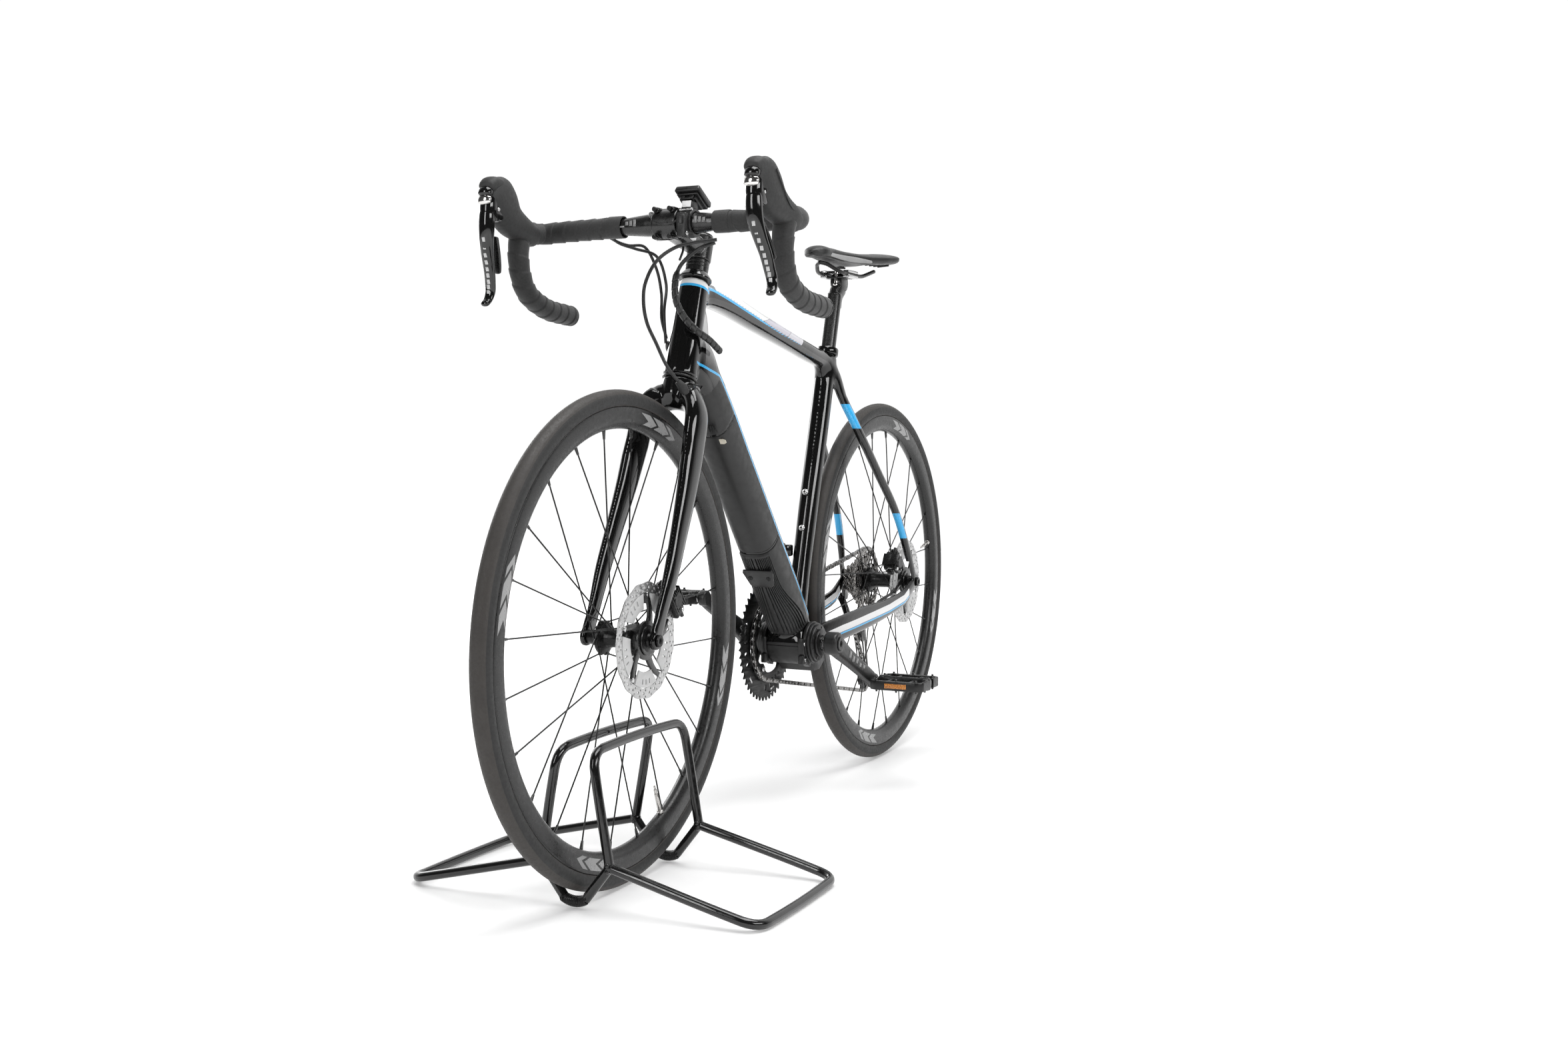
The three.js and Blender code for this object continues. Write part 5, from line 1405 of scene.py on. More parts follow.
def tape_radius(d, angles):
    """Overlapping turns: the radius falls across each turn and steps up at the next one's edge."""
    turn = ((d / WRAP) - angles / TAU) % 1.0
    ends = np.minimum(1.0, np.minimum(d + 2, tape_length - d + 3) / 4) ** 0.5
    edge = np.clip(turn / 0.06, 0, 1) * np.clip((1 - turn) / 0.10, 0, 1) ** 0.5
    return (14.6 + 1.35 * (1 - turn) * edge) * ends


tape_path = bar_path[bar_at >= TAPE_START]
tape_length = bar_at[-1] - TAPE_START
tape_fine = resampled(tape_path, 1.15)[0]
tape = tube(tape_fine, tape_radius, 48)
start_band = spun([(14.6, 73.5), (15.9, 74), (16.1, 80), (16.1, 96), (15.6, 98), (14.6, 98)], BAR,
                  (0, 1, 0), 48)
end_plug = spun([(0.02, 0), (14.0, 0), (15.2, 1.2), (15.2, 2.6), (13.4, 4.2), (0.02, 4.6)], bar_path[-1],
                (-1, 0, 0), 40)
for side, place in SIDES:
    piece(f"bar tape {side}", [(place(tape), MAT["tape"]), (place(start_band), MAT["tape"]),
                               (place(end_plug), MAT["black"])],
          "front_end", f"bar_tape_{side}", sharp=60)

# ---------------------------------------------------------------- brake and shift levers
PIVOT_X, PIVOT_Y, PIVOT_Z = 490, 205, 928


def from_pivot(rows):
    """Loft rows whose places are given from the lever's pivot."""
    return [(PIVOT_X + x, PIVOT_Y + y, PIVOT_Z + z, *size) for x, y, z, *size in rows]


hood_rows = [(384, 209, 905, 15.5, 15.5), (404, 209, 908, 18.5, 18), (424, 208, 914, 18, 20),
             (446, 207.5, 923, 17, 25), (467, 206, 942, 17, 32), (482, 205, 957, 16, 29),
             (493, 204, 970, 11, 18)]
hood_shape = fused(loft(hood_rows, 40, 2.5, 4, (3, 9)), 1.3, 3)
hood_shape = carved(hood_shape, block((PIVOT_X + 15, PIVOT_Y, PIVOT_Z - 11), (30, 50, 34), 4, 3),
                    block((PIVOT_X + 2, PIVOT_Y, PIVOT_Z - 36), (44, 50, 30), 4, 3))
seam = tube(smooth_path([(392, PIVOT_Y + 20.2, 912), (430, PIVOT_Y + 21, 918), (452, PIVOT_Y + 19.5, 940),
                         (470, PIVOT_Y + 17.6, 962)], 3), 0.9, 8)
cap_rows = [(470, 205, 961, 13, 10), (484, 204.6, 966, 13.6, 10), (497, 204.4, 963.5, 13.2, 11),
            (506, 204.2, 955.5, 12, 9)]
cap = loft(cap_rows, 36, 2.5, 2, (9, 5))
nose = loft([(499, 205, 956, 10, 10), (507, 205, 951, 10.6, 8), (509, 205, 946, 10, 6)], 36, 2.3, 2, (4, 4))
crescent = loft([(506, 205, 947, 10.4, 6), (509, 205, 941, 10.8, 5.4), (509, 205, 934.5, 9.4, 4)], 36,
                2.1, 2, (3, 4))
bracket = merged(
    loft([(488, PIVOT_Y, 952, 10, 9), (496, PIVOT_Y, 942, 11.5, 12), (499, PIVOT_Y, 928, 11.5, 12),
          (500, PIVOT_Y + 0.5, 915, 9, 9), (501, PIVOT_Y + 1, 908, 7, 7)],
         32, 2.4, 3, (3, 3)),
    disc(15, PIVOT_Y - 11.5, PIVOT_Y + 11.5, PIVOT_X, PIVOT_Z, 2.5, segments=48),
)
pivot = pin((PIVOT_X + 1, PIVOT_Y - 12.6, PIVOT_Z + 2), (PIVOT_X + 1, PIVOT_Y + 12.6, PIVOT_Z + 2), 2.8,
            24, 0.8)
blade_rows = from_pivot([(11, 0.4, 3, 10.6, 9.4), (12.5, 0.8, -14, 11.4, 9.6), (11, 2.4, -36, 11, 8.2),
                         (4, 6, -58, 9.6, 6), (-5, 9.6, -78, 8.8, 5), (-11, 12, -96, 8.2, 4.6),
                         (-14, 14.6, -112, 7.8, 4.6), (-10, 16, -122, 7.2, 4.4), (-1, 17, -130, 6.6, 4.2)])
blade_shape = loft(blade_rows, 36, 2.3, 3, (7, 5))
face_bars = []
front_line = np.array(blade_rows)[:8]
for k in np.linspace(2.1, 5.9, 9):
    low = int(min(k, 6))
    row = front_line[low] * (1 - k + low) + front_line[low + 1] * (k - low)
    run = unit(front_line[low + 1][:3] - front_line[low][:3])
    out = np.array((-run[2], 0, run[0]))
    bar_shape = turned(block((0, 0, 0), (1.2, 4.8, 6.4), 0.4, 2), math.atan2(-out[2], out[0]), (0, 1, 0))
    face_bars.append(moved(bar_shape, tuple(row[:3] + out * (row[4] - 0.25))))
paddle_rows = from_pivot([(-6, 1, -34, 6, 3), (-14, 5, -58, 8.4, 2.4), (-20, 8, -74, 8.2, 2.2),
                          (-25, 10.5, -84, 6.6, 2.2)])
paddle_shape = loft(paddle_rows, 28, 2.5, 3, (2, 4))
paddle_ridge = loft([(r[0] - 2.2, r[1], r[2], r[3] * 0.5, 1.2) for r in paddle_rows[1:]], 20, 2.2, 3, (3, 3))
for side, place in SIDES:
    piece(f"hood {side}", [(place(hood_shape), MAT["hood"]), (place(seam), MAT["hood"]),
                           (place(cap), MAT["hood"]),
                           (place(nose), MAT["gloss"]), (place(crescent), MAT["chrome"])], "front_end",
          f"hood_{side}", sharp=50)
    piece(f"lever bracket {side}", [(place(bracket), MAT["gloss"]), (place(pivot), MAT["steel"])],
          f"bracket_{side}",
          f"lever_bracket_{side}", sharp=40)
    piece(f"brake lever {side}", [(place(blade_shape), MAT["gloss"]),
                                  (place(merged(*face_bars)), MAT["print"])],
          f"blade_{side}", f"brake_lever_{side}", sharp=40)
    piece(f"shift paddle {side}", (place(merged(paddle_shape, paddle_ridge)), MAT["black"]),
          f"paddle_{side}",
          f"shift_paddle_{side}", sharp=40)

# ---------------------------------------------------------------- display
DISPLAY = np.array((333.0, 29, 955))


def on_display(shape):
    """Tilts a shape towards the rider and puts it at the display."""
    return moved(turned(shape, -0.5, (0, 1, 0)), DISPLAY)


display_body = block((0, 0, 0.6), (45, 40, 9.4), 2.6, 4, taper=(0.94, 0.94))
display_back = block((-1, 0, -6.4), (38, 33, 3.4), 1.2, 3)
screen = block((0, 0, 5.6), (36, 31, 0.9), 0.35, 2)
buttons = [block((-16.5, y, 5.7), (4, 7.5, 1.6), 0.6, 2) for y in (-9.5, 0, 9.5)]
piece("display", [(on_display(merged(display_body, display_back)), MAT["cover_dark"]),
                  (on_display(screen), MAT["screen"]),
                  (on_display(merged(*buttons)), MAT["cover"])], "front_end", "display",
      sharp=30)
band_ring = spun([(16.2, 23.4), (19.6, 23.4), (20.6, 24.6), (20.6, 41.6), (19.6, 42.8), (16.2, 42.8)],
                 BAR, (0, 1, 0), 56)
clamp_nose = block((373, 33, 911), (10, 16, 34), 2.4, 4)
clamp_cut = block((379, 33, 918), (4, 9, 12), 1.5, 3)
arm = merged(block((350, 33, 940), (18, 17, 13), 2.5, 4), block((357, 33, 934), (14, 15, 10), 2.5, 3))
foot_plate = on_display(block((0, 0, -10.2), (27, 26, 7), 1.6, 3))
latch = on_display(merged(*[block((14.5, y, -9.6), (3, 7, 5), 1.0, 3) for y in (-7, 7)],
                          block((12, 0, -13.4), (10, 20, 3), 1.0, 3)))
mount_bolt = merged(pin((374, 24.4, 899), (374, 41.6, 899), 3.1, 20, 0.7),
                    pin((362, 22.9, 934), (362, 43, 934), 2.3, 18, 0.5))
white_label = moved(turned(block((0, 0, 0), (1.0, 14, 9), 0.4, 2), -0.15, (0, 1, 0)), (366.4, 36, 941))
piece("display mount", [(merged(band_ring, carved(clamp_nose, clamp_cut), arm, foot_plate, latch),
                         MAT["cover_dark"]),
                        (mount_bolt, MAT["steel"]), (white_label, MAT["label"])], "front_end",
      "display_mount",
      sharp=30)

# ---------------------------------------------------------------- seat post, clamp and saddle
post_top = np.array(seat_at(866))
post_tube = pin(seat_at(600), post_top, 13.5, 48, 0.5)
CLAMP = (-284, 889)
post_head = loft([(post_top[0] + 3, 0, 842, 12.6, 13.2), (post_top[0] - 3, 0, 862, 12.6, 14.4),
                  (CLAMP[0] + 1, 0, 880, 12.6, 16.5)],
                 40, 2.3, 3, (2, 0))
post_shape = carved(fused(merged(post_tube, post_head), 1.4, 3), disc(17, -40, 40, *CLAMP, 0.2, segments=72))
seat_collar = spun([(14.0, 0), (18.4, 0.4), (19.2, 1.6), (19.2, 11), (18.4, 12.4), (14.0, 12.8)],
                   seat_at(757),
                   tuple(unit(np.array((-SEAT_LEAN, 0, 1)))), 56)
piece("seatpost", (post_shape, MAT["weave"]), "post", "seatpost", sharp=40)
piece("seat collar", [(seat_collar, MAT["gloss"])], "main_frame")

RAILS = rounded([(-196, 0, 917), (-204, 9, 915), (-236, 22, 903), (-334, 22, 903), (-392, 24, 918)], 16, 10)
rail = tube(RAILS, 3.5, 20, 3)
piece("saddle rails", (merged(both_sides(rail), ball((-196, 0, 917), 3.5)), MAT["anodised"]), "saddle",
      "saddle_rails",
      sharp=50)
cradle = disc(16.4, -10.8, 10.8, *CLAMP, 1.6, segments=72)
jaws = []
for side in (1, -1):
    for z, h in ((899.2, 5.4), (907.2, 4.6)):
        jaws.append(block((CLAMP[0], side * 22, z), (44, 12, h), 1.6, 3))
beam = [block((CLAMP[0], 0, 897.8), (30, 40, 4.5), 1.5, 3), block((CLAMP[0], 0, 908), (20, 42, 4.0), 1.4, 3)]
slots = [pin((-240, s * 22, 903), (-330, s * 22, 903), 4.0, 24, 0.1) for s in (1, -1)]
clamp_shape = carved(merged(*jaws), *slots)
clamp_bolts = merged(*[pin((CLAMP[0] + s * 17, 0, 884), (CLAMP[0] + s * 11, 0, 911.5), 3.0, 20, 0.6)
                       for s in (1, -1)],
                     *[ball((CLAMP[0] + s * 17, 0, 884), 4.6) for s in (1, -1)])
piece("rail clamp", [(merged(cradle, *beam), MAT["black"]), (clamp_shape, MAT["steel"]),
                     (clamp_bolts, MAT["chrome"])],
      "clamp", "rail_clamp", sharp=40)

SADDLE_ROWS = [(-157, 0, 932, 9, 5), (-170, 0, 933, 18, 9), (-215, 0, 935, 20, 10), (-270, 0, 934, 27, 10),
               (-330, 0, 934, 48, 11), (-375, 0, 937, 66, 12), (-412, 0, 941, 66, 11), (-432, 0, 942, 46, 7)]


def saddle_surface(rows, lift, drop, skirt, sides=72, step=3.0):
    """A crowned seat: a flat underside, rounded side skirts and a shallow valley down the middle."""
    path, where = resampled(rows, step, (9, 16))
    rings = []
    for row, s in zip(path, where):
        x, _, z, width, depth = row
        near = min(s, where[-1] - s)
        shrink = math.sqrt(max(1 - (1 - min(near, 12) / 12) ** 2, 0.003))
        shrink = max(shrink, 0.12)
        ring = []
        for k in range(sides):
            a = TAU * k / sides
            c, e = math.cos(a), math.sin(a)
            y = width * shrink * math.copysign(abs(c) ** 0.8, c)
            t = abs(y) / max(width, 1)
            if e >= 0:
                dish = 1.3 * math.exp(-(y / 9) ** 2) * (30 < s)
                h = depth * shrink * e ** 0.75 * (1 - 0.28 * t * t) - dish + lift
            else:
                h = -skirt(s) * shrink * abs(e) ** 0.7 * (0.35 + 0.65 * t) + drop
            ring.append((x, y, z + h))
        rings.append(np.array(ring)[::-1])
    return skinned(rings)


cover_shape = saddle_surface(SADDLE_ROWS, 0.0, 0.0, lambda s: 14.0)
# near-black pegs through the shell, painted shade for its slots
holes = []
for side in (1, -1):
    for i in range(5):
        holes.append(pin((-338 - i * 13, side * (20 + i * 3), 926.5),
                         (-338 - i * 13, side * (38 + i * 4), 928), 1.8, 12, 0.3))
patches = [loft([(-196, s * 19.6, 930, 0.9, 3.0), (-240, s * 22.4, 929, 0.9, 4.2),
                 (-290, s * 33, 928.5, 0.9, 4.6), (-326, s * 47, 928, 0.9, 2.4)],
                20, 2.2, 4, (5, 5)) for s in (1, -1)]
saddle_piece = piece("saddle cover",
                     [(cover_shape, MAT["leather"]), (merged(*patches), MAT["leather_grey"])], "saddle",
                     "saddle_cover", sharp=70)
shell_shape = saddle_surface([(x, y, z - 3.5, w * 0.93, d * 0.5) for x, y, z, w, d in SADDLE_ROWS], -3.0,
                             0.0, lambda s: 9.0)
piece("saddle shell", [(shell_shape, MAT["shell"]), (merged(*holes), MAT["groove"])], "saddle",
      "saddle_shell",
      sharp=60)


# ---------------------------------------------------------------- cranks and chainrings
CRANK = 172.5
CRANK_ANGLE = math.atan2(82, 150)
CRANK_DIR = np.array((-math.cos(CRANK_ANGLE), 0, -math.sin(CRANK_ANGLE)))
BB_POINT = np.array((BB[0], 0, BB[1]))
SPIDER = 0.6


def crank_end(turn):
    return BB_POINT + CRANK_DIR * CRANK * turn


def crank_arm(turn):
    """An arm of rounded box section from the spindle boss out to the pedal eye."""
    rows = []
    for t, y, w, d in ((-0.08, 77, 8, 15), (0, 78, 9, 19), (0.12, 78.2, 9, 18.6), (0.25, 79, 8.8, 16.4),
                       (0.45, 81.6, 8.2, 14.6), (0.7, 85.4, 7.6, 13.4), (0.9, 88, 7.2, 13.2),
                       (1.0, 88.5, 7, 13)):
        at = BB_POINT + CRANK_DIR * CRANK * turn * t
        rows.append((at[0], y, at[2], w, d))
    arm = loft(rows, 40, 3.2, 5, (8, 9))
    end = crank_end(turn)
    boss = spun([(0.02, 64.4), (17.6, 64.4), (19, 66), (19.4, 68), (19.4, 84), (18.6, 86.4), (16.4, 88),
                 (0.02, 88)],
                (BB[0], 0, BB[1]), segments=64)
    eye = spun([(0.02, 81.5), (11.6, 81.5), (12.6, 82.6), (12.9, 88), (12.6, 94.4), (11.4, 95.6),
                (0.02, 95.6)],
               (end[0], 0, end[2]), segments=56)
    return fused(merged(arm, boss, eye), 1.5, 3), end


def crank_details(turn):
    """Boss cap and key, pedal washer and the faint strokes printed on the arm."""
    end = crank_end(turn)
    normal = unit(np.cross(CRANK_DIR * turn, (0, 1, 0)))
    cap = spun([(3.6, 87.6), (11.0, 87.6), (12, 88.4), (12, 89.2), (10.6, 90.2), (5.6, 90.2), (4.6, 88.6),
                (3.6, 88.6)],
               (BB[0], 0, BB[1]), segments=48)
    # a near-black hexagon at the bottom of the cap, painted shade for its key socket
    key = disc(4.4, 87.7, 88.2, *BB, 0.1, segments=6)
    washer = disc(8.6, 95.2, 97.2, end[0], end[2], 0.4, 5.9, 32)
    stub = pin((end[0], 96, end[2]), (end[0], 101, end[2]), 7.4, 6, 0.5)
    prints = []
    for i in range(5):
        t = 0.30 + i * 0.085
        at = BB_POINT + CRANK_DIR * CRANK * turn * t + normal * (1.2 if i % 2 else -1.2)
        y = np.interp(t, [0.25, 0.45, 0.7], [87.7, 89.7, 92.9])
        lean = math.atan2(-CRANK_DIR[2] * turn, CRANK_DIR[0] * turn)
        shape = block((0, 0, 0), (9.4, 1.0, 13.5 - i * 1.1), 0.4, 2)
        shape = turned(turned(shape, 0.072, (0, 0, 1)), lean, (0, 1, 0))
        prints.append(moved(shape, (at[0], y, at[2])))
    return cap, key, merged(washer, stub), merged(*prints)


def crank_parts(turn, place):
    """One crank with its pedal axle; turn is 1 for the left and -1 for the right."""
    arm, end = crank_arm(turn)
    cap, key, pedal_stub, prints = crank_details(turn)
    axle_shape = pin((end[0], 92, end[2]), (end[0], 186, end[2]), 5.9, 24, 0.6)
    return [(place(arm), MAT["arm"]), (place(cap), MAT["anodised"]), (place(key), MAT["groove"]),
            (place(merged(pedal_stub, axle_shape)), MAT["steel"]), (place(prints), MAT["arm_print"])]


piece("left crank", crank_parts(1, same), "crankset", "crank_left", sharp=32)
spider_arms = []
for i in range(4):
    a = SPIDER + i * math.pi / 2
    tip = polar(57, a, *BB)
    mid = polar(30, a, *BB)
    spider_arms.append(loft([(BB[0] + 8 * math.cos(a), -62, BB[1] + 8 * math.sin(a), 6, 14),
                             (mid[0], -59.4, mid[1], 5.4, 10),
                             (tip[0], -57.4, tip[1], 5, 8.5)], 28, 2.8, 4, (2, 4)))
right_parts = crank_parts(-1, mirrored)
right_parts.append((merged(*spider_arms, disc(12.2, -66, 62.5, *BB, 0.5, segments=48)), MAT["arm"]))
piece("right crank", right_parts, "crankset", "crank_right", sharp=32)


def ring_shape(teeth, y, half, inner, cut_holes):
    """A chainring with four bolt tabs inside it."""
    outline = sprocket_outline(teeth, 0, 0)
    tab = []
    for k in range(120):
        a = TAU * k / 120
        lobe = max(0.0, math.cos(4 * (a - SPIDER))) ** 3
        tab.append(polar(inner - 9 * lobe, a))
    return moved(plate([outline, tab] + cut_holes, y - half, y + half, 0.3), (BB[0], 0, BB[1]))


big_holes = []
for i in range(4):
    for k in range(3):
        a = SPIDER + math.pi / 4 + i * math.pi / 2 + (k - 1) * 0.24
        big_holes.append(capsule(polar(79, a), polar(85, a), 2.6, 6))
big_ring = ring_shape(LARGE_RING, -48, 1.3, 66, big_holes)
small_ring = ring_shape(SMALL_RING, -41, 1.0, 55.5, [])
bolts, shanks = [], []
for i in range(4):
    a = SPIDER + i * math.pi / 2
    px, pz = polar(55, a, *BB)
    bolts.append(disc(5.4, -39.8, -37.6, px, pz, 0.6, segments=24))
    shanks.append(disc(5, -52, -40, px, pz, 0.4, segments=24))
pickup = [disc(1.8, -46.8, -42.4, *polar(92, a, *BB), 0.4, segments=12) for a in (0.4, 2.5, 4.6)]
shift_ramps = []
for i in range(6):
    a = 0.2 + TAU * i / 6
    shift_ramps.append(plate([arc(90, a, a + 0.16, 6, *BB) + arc(86.5, a + 0.16, a, 6, *BB)], -46.8,
                             -46.1, 0.2))
piece("chainrings", [(merged(big_ring, small_ring), MAT["ring"]), (merged(*shanks), MAT["ring"]),
                     (merged(*bolts, *pickup, *shift_ramps), MAT["steel"])], "crankset", "chainrings",
      sharp=25)

# ---------------------------------------------------------------- cassette
TEETH = [11, 12, 13, 14, 16, 18, 20, 22, 25, 27, 30]
cogs = []
for i, teeth in enumerate(TEETH[::-1]):
    y = LARGEST_COG_Y - COG_PITCH * i
    r = pitch_radius(teeth)
    inner = 18.0
    loops = [sprocket_outline(teeth, 0, 0, 0.23 * i), circle(inner, steps=40)]
    if r - inner > 14:
        reach = (inner + r) / 2 + 1.2
        width = (r - inner) / 2 - 6.6
        loops += [capsule(polar(reach, a - 0.12), polar(reach, a + 0.12), max(width, 1.6), 6)
                  for a in np.arange(8) * TAU / 8]
    cogs.append(plate(loops, y - 0.8, y + 0.8, 0.25))
spacer_rings = [disc(19.6, LARGEST_COG_Y - COG_PITCH * i - 2.9, LARGEST_COG_Y - COG_PITCH * i - 0.8, 0, 0,
                     0.2, 17.4, 48) for i in range(10)]
lock_ring = spun([(10.6, -66.4), (16, -66.4), (17.2, -65.2), (17.2, -64.2), (10.6, -64.2)], segments=48)


def place_cogs(shape):
    return moved(shape, (-HALF_BASE, 0, WHEEL_R))


piece("cassette", [(place_cogs(merged(*cogs)), MAT["cog"]),
                   (place_cogs(merged(*spacer_rings)), MAT["anodised"]),
                   (place_cogs(lock_ring), MAT["steel"])], "cogs", "cassette", sharp=25)

# ---------------------------------------------------------------- pedals
def pedal_parts(turn):
    """A platform pedal: barrel, cage rails, grip pins and amber reflectors."""
    end = crank_end(turn)
    x0, z0 = end[0], end[2]

    def at(shape):
        return moved(shape, (x0, PEDAL_Y, z0))

    barrel = spun([(6.4, -47), (9.6, -47), (11, -45.6), (11.2, -30), (10.2, -26), (10.2, 26), (11.4, 32),
                   (11.4, 43), (10, 46), (6.4, 46)], segments=48)
    end_cap = disc(8.4, 45.6, 47.4, 0, 0, 0.8, segments=32)
    body = []
    for s in (1, -1):
        rail_corners = [(s * 12, -47, 0), (s * 40, -47, 0), (s * 45.5, -38, 0), (s * 46, 0, 0),
                        (s * 45.5, 38, 0), (s * 40, 46, 0), (s * 12, 46, 0)]
        path = rounded(rail_corners, 8, 5)
        body.append(frame_rail(path, 2.8, 7.8))
        body += [block((s * 27, y, 0), (30, 5, 13), 1.4, 3) for y in (-20, 20)]
        body += [block((s * 41.6, 0, dz), (5, 66, 1.8), 0.6, 2) for dz in (-6.8, -3.6, 3.6, 6.8)]
    deck_ribs = [block((0, y, 0), (24, 4, 19), 1.2, 3) for y in (-38, 38)]
    pins = []
    for x, y in ((-43, -36), (-43, 36), (43, -36), (43, 36), (-43, 0), (43, 0), (-20, 44), (20, 44),
                 (-20, -45), (20, -45), (0, 38)):
        for s in (1, -1):
            pins.append(pin((x, y, s * 6), (x, y, s * 11.4), 1.9, 14, 0.5))
            pins.append(pin((x, y, s * 5), (x, y, s * 8.6), 3.0, 14, 0.6))
    reflectors = [block((s * 47.2, 0, 0), (3.4, 40, 8.6), 0.9, 3) for s in (1, -1)]
    return [(at(merged(*body, *deck_ribs)), MAT["cover_dark"]), (at(barrel), MAT["anodised"]),
            (at(end_cap), MAT["black"]),
            (at(merged(*pins)), MAT["black"]), (at(merged(*reflectors)), MAT["amber"])]


def frame_rail(path, half_y, half_z):
    """A flat-sided rail swept along a level path."""
    along = path_tangents(np.array(path))
    rings = []
    shape = [(-1, -0.8), (-0.75, -1), (0.75, -1), (1, -0.8), (1, 0.8), (0.75, 1), (-0.75, 1), (-1, 0.8)]
    for p, t in zip(path, along):
        u = unit(np.cross(t, (0, 0, 1)))
        rings.append(np.array([p + u * a * half_y + np.array((0, 0, b * half_z)) for a, b in shape]))
    return skinned(rings)


piece("left pedal", pedal_parts(1), "left_pedal", "pedal_left", sharp=30)
piece("right pedal", [(mirrored(s), m) for s, m in pedal_parts(-1)], "right_pedal", "pedal_right",
      sharp=30)

# ---------------------------------------------------------------- chain
CHAIN_WHEELS = [(*BB, pitch_radius(SMALL_RING), -41, 1), (*TENSION_AT, pitch_radius(JOCKEY_TEETH), -30, 1),
                (*GUIDE_AT, pitch_radius(JOCKEY_TEETH), -30, -1),
                (-HALF_BASE, WHEEL_R, pitch_radius(TEETH[-1]), LARGEST_COG_Y, 1)]


def tangent_run(a, b):
    """Ends of the straight chain run between two wheels."""
    dx, dz = b[0] - a[0], b[1] - a[1]
    heading = math.atan2(dz, dx) + math.asin((b[4] * b[2] - a[4] * a[2]) / math.hypot(dx, dz))
    nx, nz = math.cos(heading + math.pi / 2), math.sin(heading + math.pi / 2)
    return [np.array((w[0] + w[4] * w[2] * nx, w[3], w[1] + w[4] * w[2] * nz)) for w in (a, b)]


def chain_line():
    """The closed line of the chain round its four wheels."""
    count = len(CHAIN_WHEELS)
    runs = [tangent_run(CHAIN_WHEELS[i], CHAIN_WHEELS[(i + 1) % count]) for i in range(count)]
    points = []
    for i, (x, z, r, y, turn) in enumerate(CHAIN_WHEELS):
        arrive, leave = runs[i - 1][1], runs[i][0]
        a0 = math.atan2(arrive[2] - z, arrive[0] - x)
        sweep = math.atan2(leave[2] - z, leave[0] - x) - a0
        while sweep * turn > 0:
            sweep -= turn * TAU
        for k in range(33):
            a = a0 + sweep * k / 32
            points.append((x + r * math.cos(a), y, z + r * math.sin(a)))
    return np.array(points)


def chain_parts():
    """Inner and outer links of shaped side plates, with a roller and a pin at every joint."""
    line = chain_line()
    line = np.concatenate([line, line[:1]])
    at = travelled(line)
    number = 2 * int(round(at[-1] / PITCH / 2))
    joints = np.stack([np.interp(np.arange(number) * at[-1] / number, at, line[:, k]) for k in range(3)],
                      axis=1)
    waist = []
    for a in np.linspace(0, TAU, 28, endpoint=False):
        c = math.cos(a)
        waist.append((PITCH / 2 * math.copysign(min(abs(c) * 1.5, 1), c) + 4.0
                      * math.copysign(max(abs(c) - 0.66, 0) / 0.34, c),
                      4.1 * math.sin(a) * (0.78 + 0.22 * min(abs(c) * 1.6, 1))))
    plates = {0: merged(plate([waist], 1.5, 2.3, 0.2), plate([waist], -2.3, -1.5, 0.2)),
              1: merged(plate([waist], 2.4, 3.2, 0.2), plate([waist], -3.2, -2.4, 0.2))}
    links, rollers, pins = [], [], []
    for i in range(number):
        a, b = joints[i], joints[(i + 1) % number]
        middle = (a + b) / 2
        d = b - a
        verts = plates[i % 2][0]
        stretch = math.hypot(d[0], d[2]) / PITCH
        ux = np.array((d[0], 0, d[2])) / math.hypot(d[0], d[2])
        uz = np.array((-ux[2], 0, ux[0]))
        links.append((middle + np.outer(verts[:, 0] * stretch, ux) + np.outer(verts[:, 2], uz)
                      + np.outer(verts[:, 1], (0, 1, 0))
                      + np.outer(verts[:, 0] / PITCH, (0, d[1], 0)), plates[i % 2][1]))
        rollers.append(disc(3.7, a[1] - 1.4, a[1] + 1.4, a[0], a[2], 0.3, segments=12))
        pins.append(disc(1.7, a[1] - 3.5, a[1] + 3.5, a[0], a[2], 0.2, segments=8))
    return merged(*links), merged(*rollers, *pins)


links, rollers = chain_parts()
piece("chain", [(links, MAT["chain"]), (rollers, MAT["steel"])], "main_frame", "chain",
      sharp=30)

# ---------------------------------------------------------------- derailleurs
cage = []
for r_in, r_out, y0, y1 in ((108, 124, -46.6, -45.2), (100, 124, -35.8, -34.4)):
    outline = arc(r_out, 1.6, 2.22, 22, *BB) + arc(r_in, 2.2, 1.62, 22, *BB)
    slot_hole = capsule(polar(115, 1.75, *BB), polar(115, 1.86, *BB), 2, 6)
    cage.append(plate([outline, slot_hole], y0, y1, 0.4))
for a in (1.62, 2.14):
    cage.append(plate([arc(124, a, a + 0.08, 5, *BB) + arc(120.6, a + 0.08, a, 5, *BB)], -46.4, -34.6, 0.5))
mech_arm = [pin((-104, -36.6, 389), (-112, -35, 424), 5, 24, 1.2),
            pin((-122.5, -36, 426), (-101, -36, 426), 6.4, 28, 1.2),
            block((-110, -37, 408), (11, 7, 34), 2, 3)]
mech_bolts = [pin((-124.4, -36, 426), (-100, -36, 426), 3, 6, 0.4), ball((-104, -40.4, 392), 2.6)]
cage_top = loft([(-116, -41, 390, 5, 2), (-106, -41, 392, 5.4, 2.4), (-96, -41, 392.4, 5, 2)], 20, 3, 3,
                (1, 1))
piece("front derailleur", [(merged(*cage), MAT["steel"]), (merged(*mech_arm, cage_top), MAT["anodised"]),
                           (merged(*mech_bolts), MAT["steel"])], "front_mech", "front_derailleur",
      sharp=30)

LOW, HIGH = np.array((-466.0, -50, 250)), np.array((-499.0, -84, 302))
LINK_AXIS = np.array((-0.851, 0, -0.525))


def link_end(at, r, half):
    return pin(at + LINK_AXIS * half, at - LINK_AXIS * half, r, 32, 1.4)


